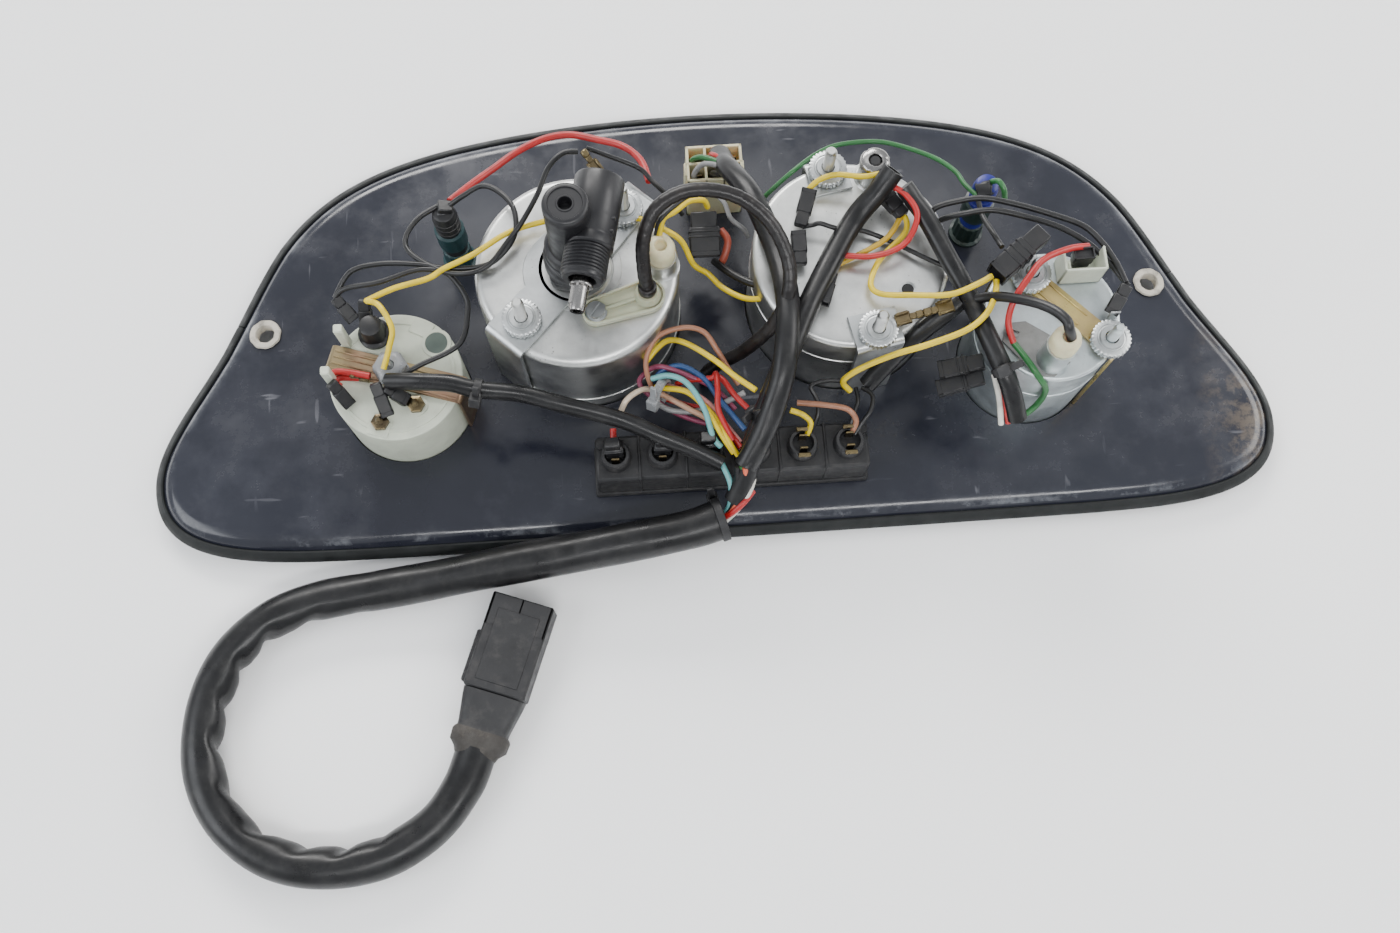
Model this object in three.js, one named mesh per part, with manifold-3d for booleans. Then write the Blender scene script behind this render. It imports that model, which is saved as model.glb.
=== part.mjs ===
// Rear side of a touring-motorcycle fairing instrument panel: a moulded shell with four
// instruments, a warning-lamp strip, two pilot lamps, a hazard switch and a wiring harness.
// Millimetres. The panel lies face down: the dials look towards -Z and the wiring is on +Z.
// X runs along the panel, Y towards its arched top edge, and the bezels stand on z = 0.
import * as THREE from 'three';
import { mergeVertices } from 'three/addons/utils/BufferGeometryUtils.js';
import Module from 'manifold-3d';

const wasm = await Module();
wasm.setup();

// ---- driving dimensions -------------------------------------------------------------
const GAP = 0.3;                    // clearance kept between pieces that touch
const PANEL_FRONT = 10;             // front face of the flat panel
const PANEL_T = 3;
const PANEL_BACK = PANEL_FRONT + PANEL_T;
const LIP_INSET = 1.7;              // where the turned-down rim ends, in from the outline
const LIP_Z = 5.9;
const LIP_T = 2.4;
const MOUNT_X = 193.7;              // the two rubber-bushed mounting holes
const MOUNT_Y = 1.2;
const MOUNT_HOLE_R = 5.2;

const SPEEDO = { x: -55.4, y: 1.2, r: 41.2, back: 63.7, round: 3.6, sides: 28 };
const TACHO = { x: 55.4, y: 1.2, r: 40.2, back: 64, round: 2.4, sides: 28 };
const CLOCK = { x: -131.8, y: -32.4, r: 27.1, back: 43.4, round: 0.8, sides: 24 };
const VOLT = { x: 131.8, y: -32.4, r: 27.1, back: 67.5, round: 1.4, sides: 24 };

const CAN_WALL = 1.2;
const CAN_FRONT = 3.8;              // open end of each can, behind its glass
const BEZEL_OVER = 4.5;             // how far the big bezels reach past the can
const SMALL_BEZEL_OVER = 4;
const DIAL_Z = 9;
const DIAL_T = 0.8;
const STUD_R = 2.4;
const NUT_R = 7.5;
const NUT_H = 4.6;
const STRAP_T = 1.6;
const SOCKET_R = 5.9;               // lamp socket tubes on the instrument backs
const SOCKET_SIDES = 12;

const STRIP = { x: 3, y: -70.4, length: 112, width: 19, top: 35, pitch: 19.05, count: 6 };
const SWITCH = { x: 4.4, y: 55.2, width: 24, height: 16.6, top: 44.5 };
const PILOTS = [{ side: 'left', x: -108.8, y: 31.5 }, { side: 'right', x: 115.6, y: 30.5 }];
const PILOT_TOP = 60;
const KNOB = { x: -5, y: -32 };     // trip reset knob

const DRIVE = { top: 122, neck: 82, z: 103, bodyR: 9.3, offset: 8.5, turn: -102 };
const HARNESS_R = 4.4;
const HOSE_R = 2.8;
const TAIL_R = 8.2;

// ---- finishes -----------------------------------------------------------------------
const finish = (color, roughness, metalness) =>
  new THREE.MeshStandardMaterial({ color, roughness, metalness });
const SHELL = finish(0x34363f, 0.55, 0);
const BLACK = finish(0x16171a, 0.6, 0);
const RUBBER = finish(0x1d1f20, 0.85, 0);
const OLD_RUBBER = finish(0xb5ab98, 0.9, 0);
const ZINC = finish(0xc9ccce, 0.38, 0.9);
const STEEL = finish(0x9a9894, 0.3, 1);
const GOLD = finish(0xb9a063, 0.4, 0.9);
const GLASS = finish(0xdfe6e8, 0.05, 0);
const DIAL_BLACK = finish(0x0e0f10, 0.7, 0);
const POINTER = finish(0xe8672a, 0.5, 0);
const CREAM = finish(0xe6e0c4, 0.5, 0);
const CASE_WHITE = finish(0xdfe4da, 0.5, 0);
const CLEAR = finish(0xcfd3d8, 0.25, 0);

// ---- solids -------------------------------------------------------------------------
// A closed, outward-facing indexed geometry: seams welded and collapsed triangles dropped.
function weld(geometry) {
  const bare = geometry.clone();
  bare.deleteAttribute('normal');
  bare.deleteAttribute('uv');
  const merged = mergeVertices(bare, 1e-4);
  const index = merged.getIndex().array;
  const at = merged.getAttribute('position');
  const kept = [];
  let volume = 0;
  const a = new THREE.Vector3();
  const b = new THREE.Vector3();
  const c = new THREE.Vector3();
  for (let i = 0; i < index.length; i += 3) {
    const [p, q, r] = [index[i], index[i + 1], index[i + 2]];
    if (p === q || q === r || p === r) continue;
    a.fromBufferAttribute(at, p);
    b.fromBufferAttribute(at, q);
    c.fromBufferAttribute(at, r);
    volume += a.dot(b.cross(c));
    kept.push(p, q, r);
  }
  if (volume < 0) {
    for (let i = 0; i < kept.length; i += 3) {
      [kept[i + 1], kept[i + 2]] = [kept[i + 2], kept[i + 1]];
    }
  }
  const out = new THREE.BufferGeometry();
  out.setAttribute('position', new THREE.BufferAttribute(new Float32Array(at.array), 3));
  out.setIndex(kept);
  return out;
}

function toManifold(geometry) {
  const clean = weld(geometry);
  return new wasm.Manifold(new wasm.Mesh({
    numProp: 3,
    vertProperties: clean.getAttribute('position').array,
    triVerts: new Uint32Array(clean.getIndex().array),
  }));
}

function fromManifold(manifold) {
  const mesh = manifold.getMesh();
  const out = new THREE.BufferGeometry();
  out.setAttribute('position', new THREE.BufferAttribute(new Float32Array(mesh.vertProperties), 3));
  out.setIndex(Array.from(mesh.triVerts));
  return out;
}

// Joins the first list and cuts the second list out of it.
function carve(joined, cuts = []) {
  let body = toManifold(joined[0]);
  for (const piece of joined.slice(1)) body = body.add(toManifold(piece));
  for (const piece of cuts) body = body.subtract(toManifold(piece));
  return fromManifold(body);
}

// A profile of [radius, z] pairs turned about Z. It starts and ends on the axis, or closes.
function turned(profile, segments) {
  const points = profile.map(([r, z]) => new THREE.Vector2(r, z));
  return new THREE.LatheGeometry(points, segments).rotateX(Math.PI / 2);
}

function ringProfile(points) {
  return [...points, points[0]];
}

function rod(radius, z0, z1, segments = 16, x = 0, y = 0) {
  return new THREE.CylinderGeometry(radius, radius, z1 - z0, segments)
    .rotateX(Math.PI / 2)
    .translate(x, y, (z0 + z1) / 2);
}

function block(x0, x1, y0, y1, z0, z1) {
  return new THREE.BoxGeometry(x1 - x0, y1 - y0, z1 - z0)
    .translate((x0 + x1) / 2, (y0 + y1) / 2, (z0 + z1) / 2);
}

function plate(points, z0, thickness) {
  const shape = new THREE.Shape(points.map(([x, y]) => new THREE.Vector2(x, y)));
  return new THREE.ExtrudeGeometry(shape, { depth: thickness, bevelEnabled: false })
    .translate(0, 0, z0);
}

// A round tube along a smooth route.
function tube(route, radius, sides, steps) {
  const path = new THREE.CatmullRomCurve3(route.map(([x, y, z]) => new THREE.Vector3(x, y, z)));
  const section = [];
  for (let i = 0; i < sides; i += 1) {
    const angle = (2 * Math.PI * i) / sides;
    section.push(new THREE.Vector2(radius * Math.cos(angle), radius * Math.sin(angle)));
  }
  return new THREE.ExtrudeGeometry(new THREE.Shape(section), { steps, extrudePath: path });
}

const cluster = new THREE.Group();

function add(name, geometry, material, parent = cluster, x = 0, y = 0) {
  const mesh = new THREE.Mesh(weld(geometry), material);
  mesh.name = name;
  mesh.position.set(x, y, 0);
  parent.add(mesh);
  return mesh;
}

function groupAt(x, y) {
  const group = new THREE.Group();
  group.position.set(x, y, 0);
  cluster.add(group);
  return group;
}

// ---- panel outline ------------------------------------------------------------------
// Right half from the bottom middle to the top middle; the left half is its mirror.
const TRIM_JOINT = new THREE.Vector2(208, 8.5);   // butt joint of the two trim lengths
function halfOutline() {
  const path = new THREE.Path();
  path.moveTo(0, -100);
  path.lineTo(76, -99.9);
  path.lineTo(150, -99.6);
  path.bezierCurveTo(196, -98.8, 241, -99, 241, -62);
  path.bezierCurveTo(241, -44, 226, -26, 214, -4);
  path.lineTo(TRIM_JOINT.x, TRIM_JOINT.y);
  path.bezierCurveTo(203, 19, 197, 33, 190, 44);
  path.bezierCurveTo(174, 67, 152, 82, 105, 91);
  path.bezierCurveTo(74, 97, 36, 100, 0, 100);
  return path.getPoints(6);
}
const right = halfOutline();
const left = right.slice(1, -1).reverse().map((p) => new THREE.Vector2(-p.x, p.y));
const OUTLINE = [...right, ...left];
const INWARD = OUTLINE.map((p, i) => {
  const before = OUTLINE[(i + OUTLINE.length - 1) % OUTLINE.length];
  const after = OUTLINE[(i + 1) % OUTLINE.length];
  const run = after.clone().sub(before).normalize();
  return new THREE.Vector2(-run.y, run.x);
});

function insetPoint(i, inset, z) {
  const p = OUTLINE[i];
  const n = INWARD[i];
  return [p.x + n.x * inset, p.y + n.y * inset, z];
}

// Skin between rings of equal length; closed rings wrap round, open ones do not.
function skin(rings, wrapAcross, wrapAlong) {
  const across = rings[0].length;
  const faces = [];
  const rows = wrapAlong ? rings.length : rings.length - 1;
  const columns = wrapAcross ? across : across - 1;
  for (let i = 0; i < rows; i += 1) {
    const next = (i + 1) % rings.length;
    for (let j = 0; j < columns; j += 1) {
      const k = (j + 1) % across;
      const [a, b] = [i * across + j, i * across + k];
      const [c, d] = [next * across + j, next * across + k];
      faces.push(a, b, d, a, d, c);
    }
  }
  return faces;
}

// Flat lid on a ring. It runs with the ring's own order, or against it when reversed.
function lid(flat, base, reversed) {
  const faces = [];
  const area = (p, q, r) => (q.x - p.x) * (r.y - p.y) - (q.y - p.y) * (r.x - p.x);
  const around = Math.sign(THREE.ShapeUtils.area(flat)) * (reversed ? -1 : 1);
  for (const [a, b, c] of THREE.ShapeUtils.triangulateShape(flat, [])) {
    const keeps = Math.sign(area(flat[a], flat[b], flat[c])) === around;
    faces.push(base + a, base + (keeps ? b : c), base + (keeps ? c : b));
  }
  return faces;
}

function fromRings(rings, faces) {
  const geometry = new THREE.BufferGeometry();
  geometry.setAttribute('position', new THREE.Float32BufferAttribute(rings.flat(2), 3));
  geometry.setIndex(faces);
  return geometry;
}

// The shell: flat in the middle, its rim rolled down all round.
function panelBlank() {
  const profile = [
    [9.2, PANEL_BACK], [7.4, PANEL_BACK - 0.6], [6, PANEL_BACK - 1.9],
    [LIP_INSET + 3, LIP_Z + 3], [LIP_INSET, LIP_Z],
    [LIP_INSET + 1.7, LIP_Z - 1.7], [LIP_INSET + 4.5, LIP_Z + 1.1],
    [7.8, PANEL_FRONT - 1.2], [9.2, PANEL_FRONT - 0.3], [10.6, PANEL_FRONT],
  ];
  const rings = profile.map(([inset, z]) => OUTLINE.map((p, i) => insetPoint(i, inset, z)));
  const faces = skin(rings, true, false);
  const last = rings.length - 1;
  for (const [row, reversed] of [[0, true], [last, false]]) {
    const flat = rings[row].map(([x, y]) => new THREE.Vector2(x, y));
    faces.push(...lid(flat, row * OUTLINE.length, reversed));
  }
  return fromRings(rings, faces);
}

const gauges = [SPEEDO, TACHO, CLOCK, VOLT];
const panelCuts = gauges.map((g) => rod(g.r + 0.6, 5, 20, g.sides, g.x, g.y));
for (const side of [-1, 1]) {
  panelCuts.push(rod(MOUNT_HOLE_R, 5, 20, 14, side * MOUNT_X, MOUNT_Y));
}
for (const pilot of PILOTS) panelCuts.push(rod(5.4, 5, 20, 12, pilot.x, pilot.y));
panelCuts.push(rod(2.6, 5, 20, 10, KNOB.x, KNOB.y));
const lampX = [];
for (let i = 0; i < STRIP.count; i += 1) {
  lampX.push(STRIP.x + (i - (STRIP.count - 1) / 2) * STRIP.pitch);
}
for (const x of lampX) panelCuts.push(rod(5, 5, 20, 10, x, STRIP.y));
panelCuts.push(block(
  SWITCH.x - SWITCH.width / 2 - GAP, SWITCH.x + SWITCH.width / 2 + GAP,
  SWITCH.y - SWITCH.height / 2 - GAP, SWITCH.y + SWITCH.height / 2 + GAP, 5, 20,
));
add('panel_shell', carve([panelBlank()], panelCuts), SHELL);

// ---- rubber edge trim ---------------------------------------------------------------
// A channel pushed over the rim, which points down and out at 45 degrees.
function trimSection() {
  const half = Math.SQRT1_2;
  const channel = [
    [-4.1, GAP], [-4.1, 1.4], [0.8, 1.6], [1.5, 0.9], [1.5, -3.1], [0.8, -3.8],
    [-3.6, -3.8], [-3.6, -LIP_T - GAP], [GAP, -LIP_T - GAP], [GAP, GAP],
  ];
  return channel.map(([along, out]) => [
    LIP_INSET - half * (along + out),
    LIP_Z - half * along + half * out,
  ]);
}

function trimLength(indices) {
  const section = trimSection();
  const rings = indices.map((i) => section.map(([inset, z]) => insetPoint(i, inset, z)));
  const last = rings.length - 1;
  for (const [end, inner] of [[0, 1], [last, last - 1]]) {
    const run = Math.hypot(
      rings[end][0][0] - rings[inner][0][0], rings[end][0][1] - rings[inner][0][1],
    );
    rings[end] = rings[end].map((p, j) => p.map((v, k) => v + (rings[inner][j][k] - v) * (0.2 / run)));
  }
  const faces = skin(rings, true, false);
  const flat = section.map(([inset, z]) => new THREE.Vector2(inset, z));
  faces.push(...lid(flat, 0, true), ...lid(flat, last * section.length, false));
  return fromRings(rings, faces);
}

const jointRight = OUTLINE.findIndex((p) => p.distanceTo(TRIM_JOINT) < 0.01);
const jointLeft = OUTLINE.length - jointRight;
const upper = [];
for (let i = jointRight; i <= jointLeft; i += 1) upper.push(i);
const lower = [];
for (let i = jointLeft; i <= OUTLINE.length + jointRight; i += 1) lower.push(i % OUTLINE.length);
add('edge_trim_upper', trimLength(upper), RUBBER);
add('edge_trim_lower', trimLength(lower), RUBBER);

// ---- mounting grommets --------------------------------------------------------------
const grommet = ringProfile([
  [3.7, 9], [6.2, 9], [6.2, PANEL_FRONT - GAP], [4.9, PANEL_FRONT - GAP],
  [4.9, PANEL_BACK + GAP], [6.6, PANEL_BACK + GAP], [6.6, 14.6], [3.7, 14.6],
]);
add('mount_grommet_left', turned(grommet, 14), OLD_RUBBER, cluster, -MOUNT_X, MOUNT_Y);
add('mount_grommet_right', turned(grommet, 14), OLD_RUBBER, cluster, MOUNT_X, MOUNT_Y);

// ---- instrument pieces --------------------------------------------------------------
function canProfile(g) {
  const profile = [[0, g.back]];
  const steps = g.round > 2 ? 2 : 1;
  for (let i = 0; i <= steps; i += 1) {
    const angle = (Math.PI / 2) * (1 - i / steps);
    profile.push([
      g.r - g.round + g.round * Math.cos(angle),
      g.back - g.round + g.round * Math.sin(angle),
    ]);
  }
  profile.push([g.r, CAN_FRONT], [g.r - CAN_WALL, CAN_FRONT]);
  profile.push([g.r - CAN_WALL, g.back - g.round - 0.4]);
  profile.push([g.r - CAN_WALL - g.round, g.back - CAN_WALL], [0, g.back - CAN_WALL]);
  return profile;
}

function bezel(g, over) {
  return turned(ringProfile([
    [g.r - 3.2, 0.5], [g.r - 2.6, 0], [g.r + over - 1.4, 0], [g.r + over, 1.4],
    [g.r + over, PANEL_FRONT - GAP], [g.r + GAP, PANEL_FRONT - GAP],
    [g.r + GAP, 1.5], [g.r - 3.2, 1.5],
  ]), g.sides);
}

function knurledNut(z) {
  const teeth = 14;
  const outline = [];
  for (let i = 0; i < teeth * 2; i += 1) {
    const angle = (Math.PI * i) / teeth;
    const r = i % 2 ? NUT_R - 0.5 : NUT_R;
    outline.push(new THREE.Vector2(r * Math.cos(angle), r * Math.sin(angle)));
  }
  const shape = new THREE.Shape(outline);
  shape.holes.push(new THREE.Path().absarc(0, 0, STUD_R + GAP, 0, 2 * Math.PI, true));
  return new THREE.ExtrudeGeometry(shape, { depth: NUT_H, bevelEnabled: false, curveSegments: 4 })
    .translate(0, 0, z);
}

// A metal lamp socket on the back of a can: a tube, open at its outer end.
function socketTube(x, y, z0, z1) {
  return turned(ringProfile([
    [SOCKET_R - 0.8, z0 - 0.6], [SOCKET_R, z0 - 0.6], [SOCKET_R, z1], [SOCKET_R - 0.8, z1],
  ]), SOCKET_SIDES).translate(x, y, 0);
}

// A push-in lamp holder: a skirt inside the socket, a collar on its rim and a rounded head.
function lampHolder(z, head) {
  const skirt = SOCKET_R - 0.8 - GAP;
  return turned([
    [0, z - 5], [skirt, z - 5], [skirt, z + GAP], [SOCKET_R - 0.1, z + GAP],
    [SOCKET_R - 0.1, z + head - 2], [SOCKET_R - 1.2, z + head - 0.4], [2, z + head],
    [1.8, z + head - 1.5], [0, z + head - 1.5],
  ], SOCKET_SIDES);
}

// A pointer lying across the front of a dial: hub, blade and a spindle through the dial.
function pointer(length, tail, width, hub, z, angle) {
  const blade = plate([
    [-tail, -width * 0.8], [length * 0.85, -width / 2.4], [length, 0],
    [length * 0.85, width / 2.4], [-tail, width * 0.8],
  ], z + 0.9, 0.8);
  const parts = [rod(hub, z, z + 2.4, 14), blade, rod(1.2, z + 2.2, 15, 8)];
  return carve(parts).rotateZ(THREE.MathUtils.degToRad(angle));
}

function dial(g, cuts = []) {
  const disc = rod(g.r - CAN_WALL - GAP, DIAL_Z, DIAL_Z + DIAL_T, g.sides);
  return carve([disc], [rod(1.8, 5, 12, 8), ...cuts]);
}

function glass(g) {
  return rod(g.r - GAP, 1.8, CAN_FRONT - GAP, g.sides);
}

// A strap bent into a bridge over a can: a flat bar with a leg down each side to the panel.
// It is drawn along U, with N across it, and then turned to its place.
function leg(u, n0, n1, top, thickness) {
  const outer = u + Math.sign(u) * thickness;
  return block(Math.min(u, outer), Math.max(u, outer), n0, n1, PANEL_BACK + GAP, top);
}

// ---- speedometer --------------------------------------------------------------------
const speedo = groupAt(SPEEDO.x, SPEEDO.y);
const SPEEDO_TURN = THREE.MathUtils.degToRad(46.7);
const SPEEDO_STUDS = [-31, 31].map((u) => [
  u * Math.cos(SPEEDO_TURN) - 1.3 * Math.sin(SPEEDO_TURN),
  u * Math.sin(SPEEDO_TURN) + 1.3 * Math.cos(SPEEDO_TURN),
]);
const SPEEDO_LAMP = [34, -0.6];
const ARM_SCREW = [7.1, -19.9];
const ARM_BOSS = [27.8, -14.2];
const boss = turned(ringProfile([
  [9.2, SPEEDO.back - 0.6], [13.4, SPEEDO.back - 0.6],
  [13.4, SPEEDO.back + 2], [9.2, SPEEDO.back + 2],
]), 20);
const speedoCan = carve([
  turned(canProfile(SPEEDO), SPEEDO.sides), boss,
  ...SPEEDO_STUDS.map(([x, y]) => rod(STUD_R, SPEEDO.back - 0.6, 85, 8, x, y)),
  rod(2, SPEEDO.back - 0.6, 68, 8, ...ARM_SCREW),
  socketTube(...SPEEDO_LAMP, SPEEDO.back, 73),
], [rod(SOCKET_R - 0.8, 55, 75, SOCKET_SIDES, ...SPEEDO_LAMP)]);
add('speedo_can', speedoCan, ZINC, speedo);
add('speedo_bezel', bezel(SPEEDO, BEZEL_OVER), BLACK, speedo);
add('speedo_glass', glass(SPEEDO), GLASS, speedo);
const WINDOW = { y: -15, width: 27, height: 6 };
add('speedo_dial', dial(SPEEDO, [
  block(-WINDOW.width / 2, WINDOW.width / 2, WINDOW.y - 3, WINDOW.y + 3, 5, 12),
]), DIAL_BLACK, speedo);
add('speedo_pointer', pointer(31, 9, 2.6, 5.5, 5.4, -45), POINTER, speedo);
const drums = new THREE.CylinderGeometry(5.6, 5.6, 25, 14).rotateZ(Math.PI / 2);
add('speedo_odometer', drums.translate(0, WINDOW.y, DIAL_Z + DIAL_T + GAP + 5.6), DIAL_BLACK, speedo);

const clampZ = SPEEDO.back + GAP;
const clampOutline = new THREE.Shape();
clampOutline.moveTo(-42.9, -8);
clampOutline.lineTo(-42.9, 11);
clampOutline.lineTo(-19, 10.5);
clampOutline.quadraticCurveTo(-15, 17, -8, 19);
clampOutline.quadraticCurveTo(8, 21.5, 14, 15);
clampOutline.quadraticCurveTo(17, 11, 22, 10);
clampOutline.lineTo(42.9, 9);
clampOutline.lineTo(42.9, -6);
clampOutline.lineTo(12.6, -7.8);
clampOutline.absarc(0, 0, 14.8, Math.atan2(-7.8, 12.6), Math.atan2(-7.8, -12.6), false);
clampOutline.lineTo(-42.9, -8);
const clampTop = new THREE.ExtrudeGeometry(clampOutline, {
  depth: STRAP_T, bevelEnabled: false, curveSegments: 5,
}).translate(0, 0, clampZ);
const speedoClamp = carve([
  clampTop,
  leg(-41.6, -8, 11, clampZ + STRAP_T, STRAP_T),
  leg(41.6, -6, 9, clampZ + STRAP_T, STRAP_T),
], [-31, 31].map((u) => rod(STUD_R + GAP, 60, 70, 8, u, 1.3)));
add('speedo_clamp', speedoClamp.rotateZ(SPEEDO_TURN), ZINC, speedo);
const speedoNutZ = clampZ + STRAP_T + GAP;
add('speedo_nut_lower', knurledNut(speedoNutZ), ZINC, speedo, ...SPEEDO_STUDS[0]);
add('speedo_nut_upper', knurledNut(speedoNutZ), ZINC, speedo, ...SPEEDO_STUDS[1]);

// Right-angle drive: a coupling nut on the can, a housing of two crossed barrels, and the
// steel shaft that the speedometer cable turns.
const driveNut = turned(ringProfile([
  [8.4, SPEEDO.back + 2 + GAP], [12, SPEEDO.back + 2 + GAP], [12.2, 72],
  [11.6, DRIVE.neck], [8.4, DRIVE.neck],
]), 18);
add('speedo_drive_nut', driveNut, BLACK, speedo);

// The input barrel is drawn along +X from the point nearest the upright barrel.
function alongInput(geometry) {
  return geometry
    .translate(0, DRIVE.offset, 0)
    .rotateZ(THREE.MathUtils.degToRad(DRIVE.turn))
    .translate(0, 0, DRIVE.z);
}
function barrel(profile, segments) {
  return new THREE.LatheGeometry(profile.map(([r, s]) => new THREE.Vector2(r, s)), segments)
    .rotateZ(-Math.PI / 2);
}
const THREAD = { start: 10, end: 21, crest: 8.2, root: 7.4, pitch: 2.6 };
const inputProfile = [[0, -21], [DRIVE.bodyR - 0.8, -21], [DRIVE.bodyR, -20.2]];
inputProfile.push([DRIVE.bodyR, 5.6], [8.7, 6.2], [8.7, THREAD.start]);
for (let s = THREAD.start; s < THREAD.end - 1; s += THREAD.pitch) {
  inputProfile.push([THREAD.root, s + 0.3], [THREAD.crest, s + 1.3], [THREAD.root, s + 2.3]);
}
inputProfile.push([THREAD.crest - 0.6, THREAD.end], [5.2, THREAD.end], [5.2, THREAD.end - 4]);
inputProfile.push([3.4, THREAD.end - 4], [3.4, -14], [0, -14]);
const upright = turned([
  [0, SPEEDO.back + 2 + GAP], [8, SPEEDO.back + 2 + GAP], [8, DRIVE.neck + GAP + 0.4],
  [7.3, DRIVE.neck + 2], [7.3, DRIVE.top - 0.8], [6.5, DRIVE.top], [2.6, DRIVE.top],
  [2.6, DRIVE.top - 4], [0, DRIVE.top - 4],
], 16);
const shoulder = turned(ringProfile([
  [7, DRIVE.neck + GAP], [10.8, DRIVE.neck + GAP], [10.8, 88], [8.4, 92], [7, 92],
]), 16);
const bore = alongInput(barrel([[0, -14], [3.4, -14], [3.4, THREAD.end - 4], [5.2, THREAD.end - 4],
  [5.2, THREAD.end + 1], [0, THREAD.end + 1]], 12));
const housing = carve([upright, shoulder, alongInput(barrel(inputProfile, 14))], [bore]);
add('speedo_drive_housing', housing, BLACK, speedo);
const shaft = carve([alongInput(barrel([
  [0, -13.6], [3, -13.6], [3, 33], [2.6, 33.4], [1.6, 33.4], [1.6, 25], [0, 25],
], 12))], [alongInput(block(20, 31, -3.4, 3.4, 2.3, 4))]);
add('speedo_drive_shaft', shaft, STEEL, speedo);

// Trip reset: a swinging arm screwed to the can, with the hose spigot at its outer end.
const armZ = SPEEDO.back + GAP;
const armRun = Math.hypot(ARM_BOSS[0] - ARM_SCREW[0], ARM_BOSS[1] - ARM_SCREW[1]);
const armShape = new THREE.Shape();
armShape.absarc(0, 0, 5.6, Math.PI / 2, (3 * Math.PI) / 2, false);
armShape.absarc(armRun, 0, 7, -Math.PI / 2, Math.PI / 2, false);
const armPlate = new THREE.ExtrudeGeometry(armShape, {
  depth: 3, bevelEnabled: false, curveSegments: 6,
}).translate(0, 0, armZ);
const arm = carve([armPlate, rod(4.6, armZ + 1, armZ + 6.5, 12, armRun, 0)], [
  rod(2.3, 60, 70, 8),
  rod(2.2, armZ + 2, armZ + 9, 8, armRun, 0),
]).rotateZ(Math.atan2(ARM_BOSS[1] - ARM_SCREW[1], ARM_BOSS[0] - ARM_SCREW[0]));
add('trip_reset_arm', arm, CREAM, speedo, ...ARM_SCREW);
const spigot = [SPEEDO.x + ARM_BOSS[0], SPEEDO.y + ARM_BOSS[1]];
const HOSE_ROUTE = [
  [spigot[0], spigot[1], armZ + 6.5 + GAP], [spigot[0], spigot[1] + 0.2, 74.4],
  [-28.4, -9.4, 82], [-28, -1, 91], [-23, 8, 98],
  [-13, 13.6, 100], [-1, 14.6, 99], [11, 11.5, 96], [21.5, 3, 91], [27.4, -9.4, 84],
  [27, -20.5, 76], [20.8, -28, 63], [10.5, -31.4, 47], [0.5, -32, 34], [-4.4, -32, 24.5],
  [KNOB.x, KNOB.y, 16.2],
];
add('trip_reset_hose', tube(HOSE_ROUTE, HOSE_R, 8, 34), RUBBER);
const knob = turned([
  [0, 1.4], [5.2, 1.4], [6, 2.2], [6, 8.4], [5.4, PANEL_FRONT - GAP], [2.2, PANEL_FRONT - GAP],
  [2.2, 15.8], [0, 15.8],
], 12);
add('trip_reset_knob', knob, BLACK, cluster, KNOB.x, KNOB.y);
add('speedo_lamp_holder', lampHolder(73, 10), CREAM, speedo, ...SPEEDO_LAMP);

// ---- tachometer ---------------------------------------------------------------------
const tacho = groupAt(TACHO.x, TACHO.y);
const TACHO_TURN = THREE.MathUtils.degToRad(100.8);
const TACHO_STUD = 35.9;
const tachoStuds = [-1, 1].map((side) => [
  side * TACHO_STUD * Math.cos(TACHO_TURN), side * TACHO_STUD * Math.sin(TACHO_TURN),
]);
const TACHO_LAMP = [11.4, 33.2];
const tachoCan = carve([
  turned(canProfile(TACHO), TACHO.sides),
  ...tachoStuds.map(([x, y]) => rod(STUD_R, TACHO.back - 1, 84, 8, x, y)),
  socketTube(...TACHO_LAMP, TACHO.back, 74),
], [rod(SOCKET_R - 0.8, 55, 76, SOCKET_SIDES, ...TACHO_LAMP), rod(2.6, 60, 70, 8, 21, -17.4)]);
add('tacho_can', tachoCan, ZINC, tacho);
add('tacho_bezel', bezel(TACHO, BEZEL_OVER), BLACK, tacho);
add('tacho_glass', glass(TACHO), GLASS, tacho);
add('tacho_dial', dial(TACHO), DIAL_BLACK, tacho);
add('tacho_pointer', pointer(31, 9, 2.6, 5.5, 5.4, -45), POINTER, tacho);
const bracketZ = TACHO.back + GAP;
function tachoBracket(inner, width) {
  return carve([
    block(inner, 42.4, -width / 2, width / 2, bracketZ, bracketZ + STRAP_T),
    block(40.8, 42.4, -width / 2, width / 2, PANEL_BACK + GAP, bracketZ + STRAP_T),
  ], [rod(STUD_R + GAP, 60, 70, 8, TACHO_STUD, 0)]);
}
add('tacho_bracket_upper', tachoBracket(27, 17).rotateZ(TACHO_TURN), ZINC, tacho);
add('tacho_bracket_lower', tachoBracket(27, 20).rotateZ(TACHO_TURN + Math.PI), ZINC, tacho);
const tachoNutZ = bracketZ + STRAP_T + GAP;
add('tacho_nut_lower', knurledNut(tachoNutZ), ZINC, tacho, ...tachoStuds[0]);
add('tacho_nut_upper', knurledNut(tachoNutZ), ZINC, tacho, ...tachoStuds[1]);
add('tacho_lamp_holder', lampHolder(74, 4.4), STEEL, tacho, ...TACHO_LAMP);

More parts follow.
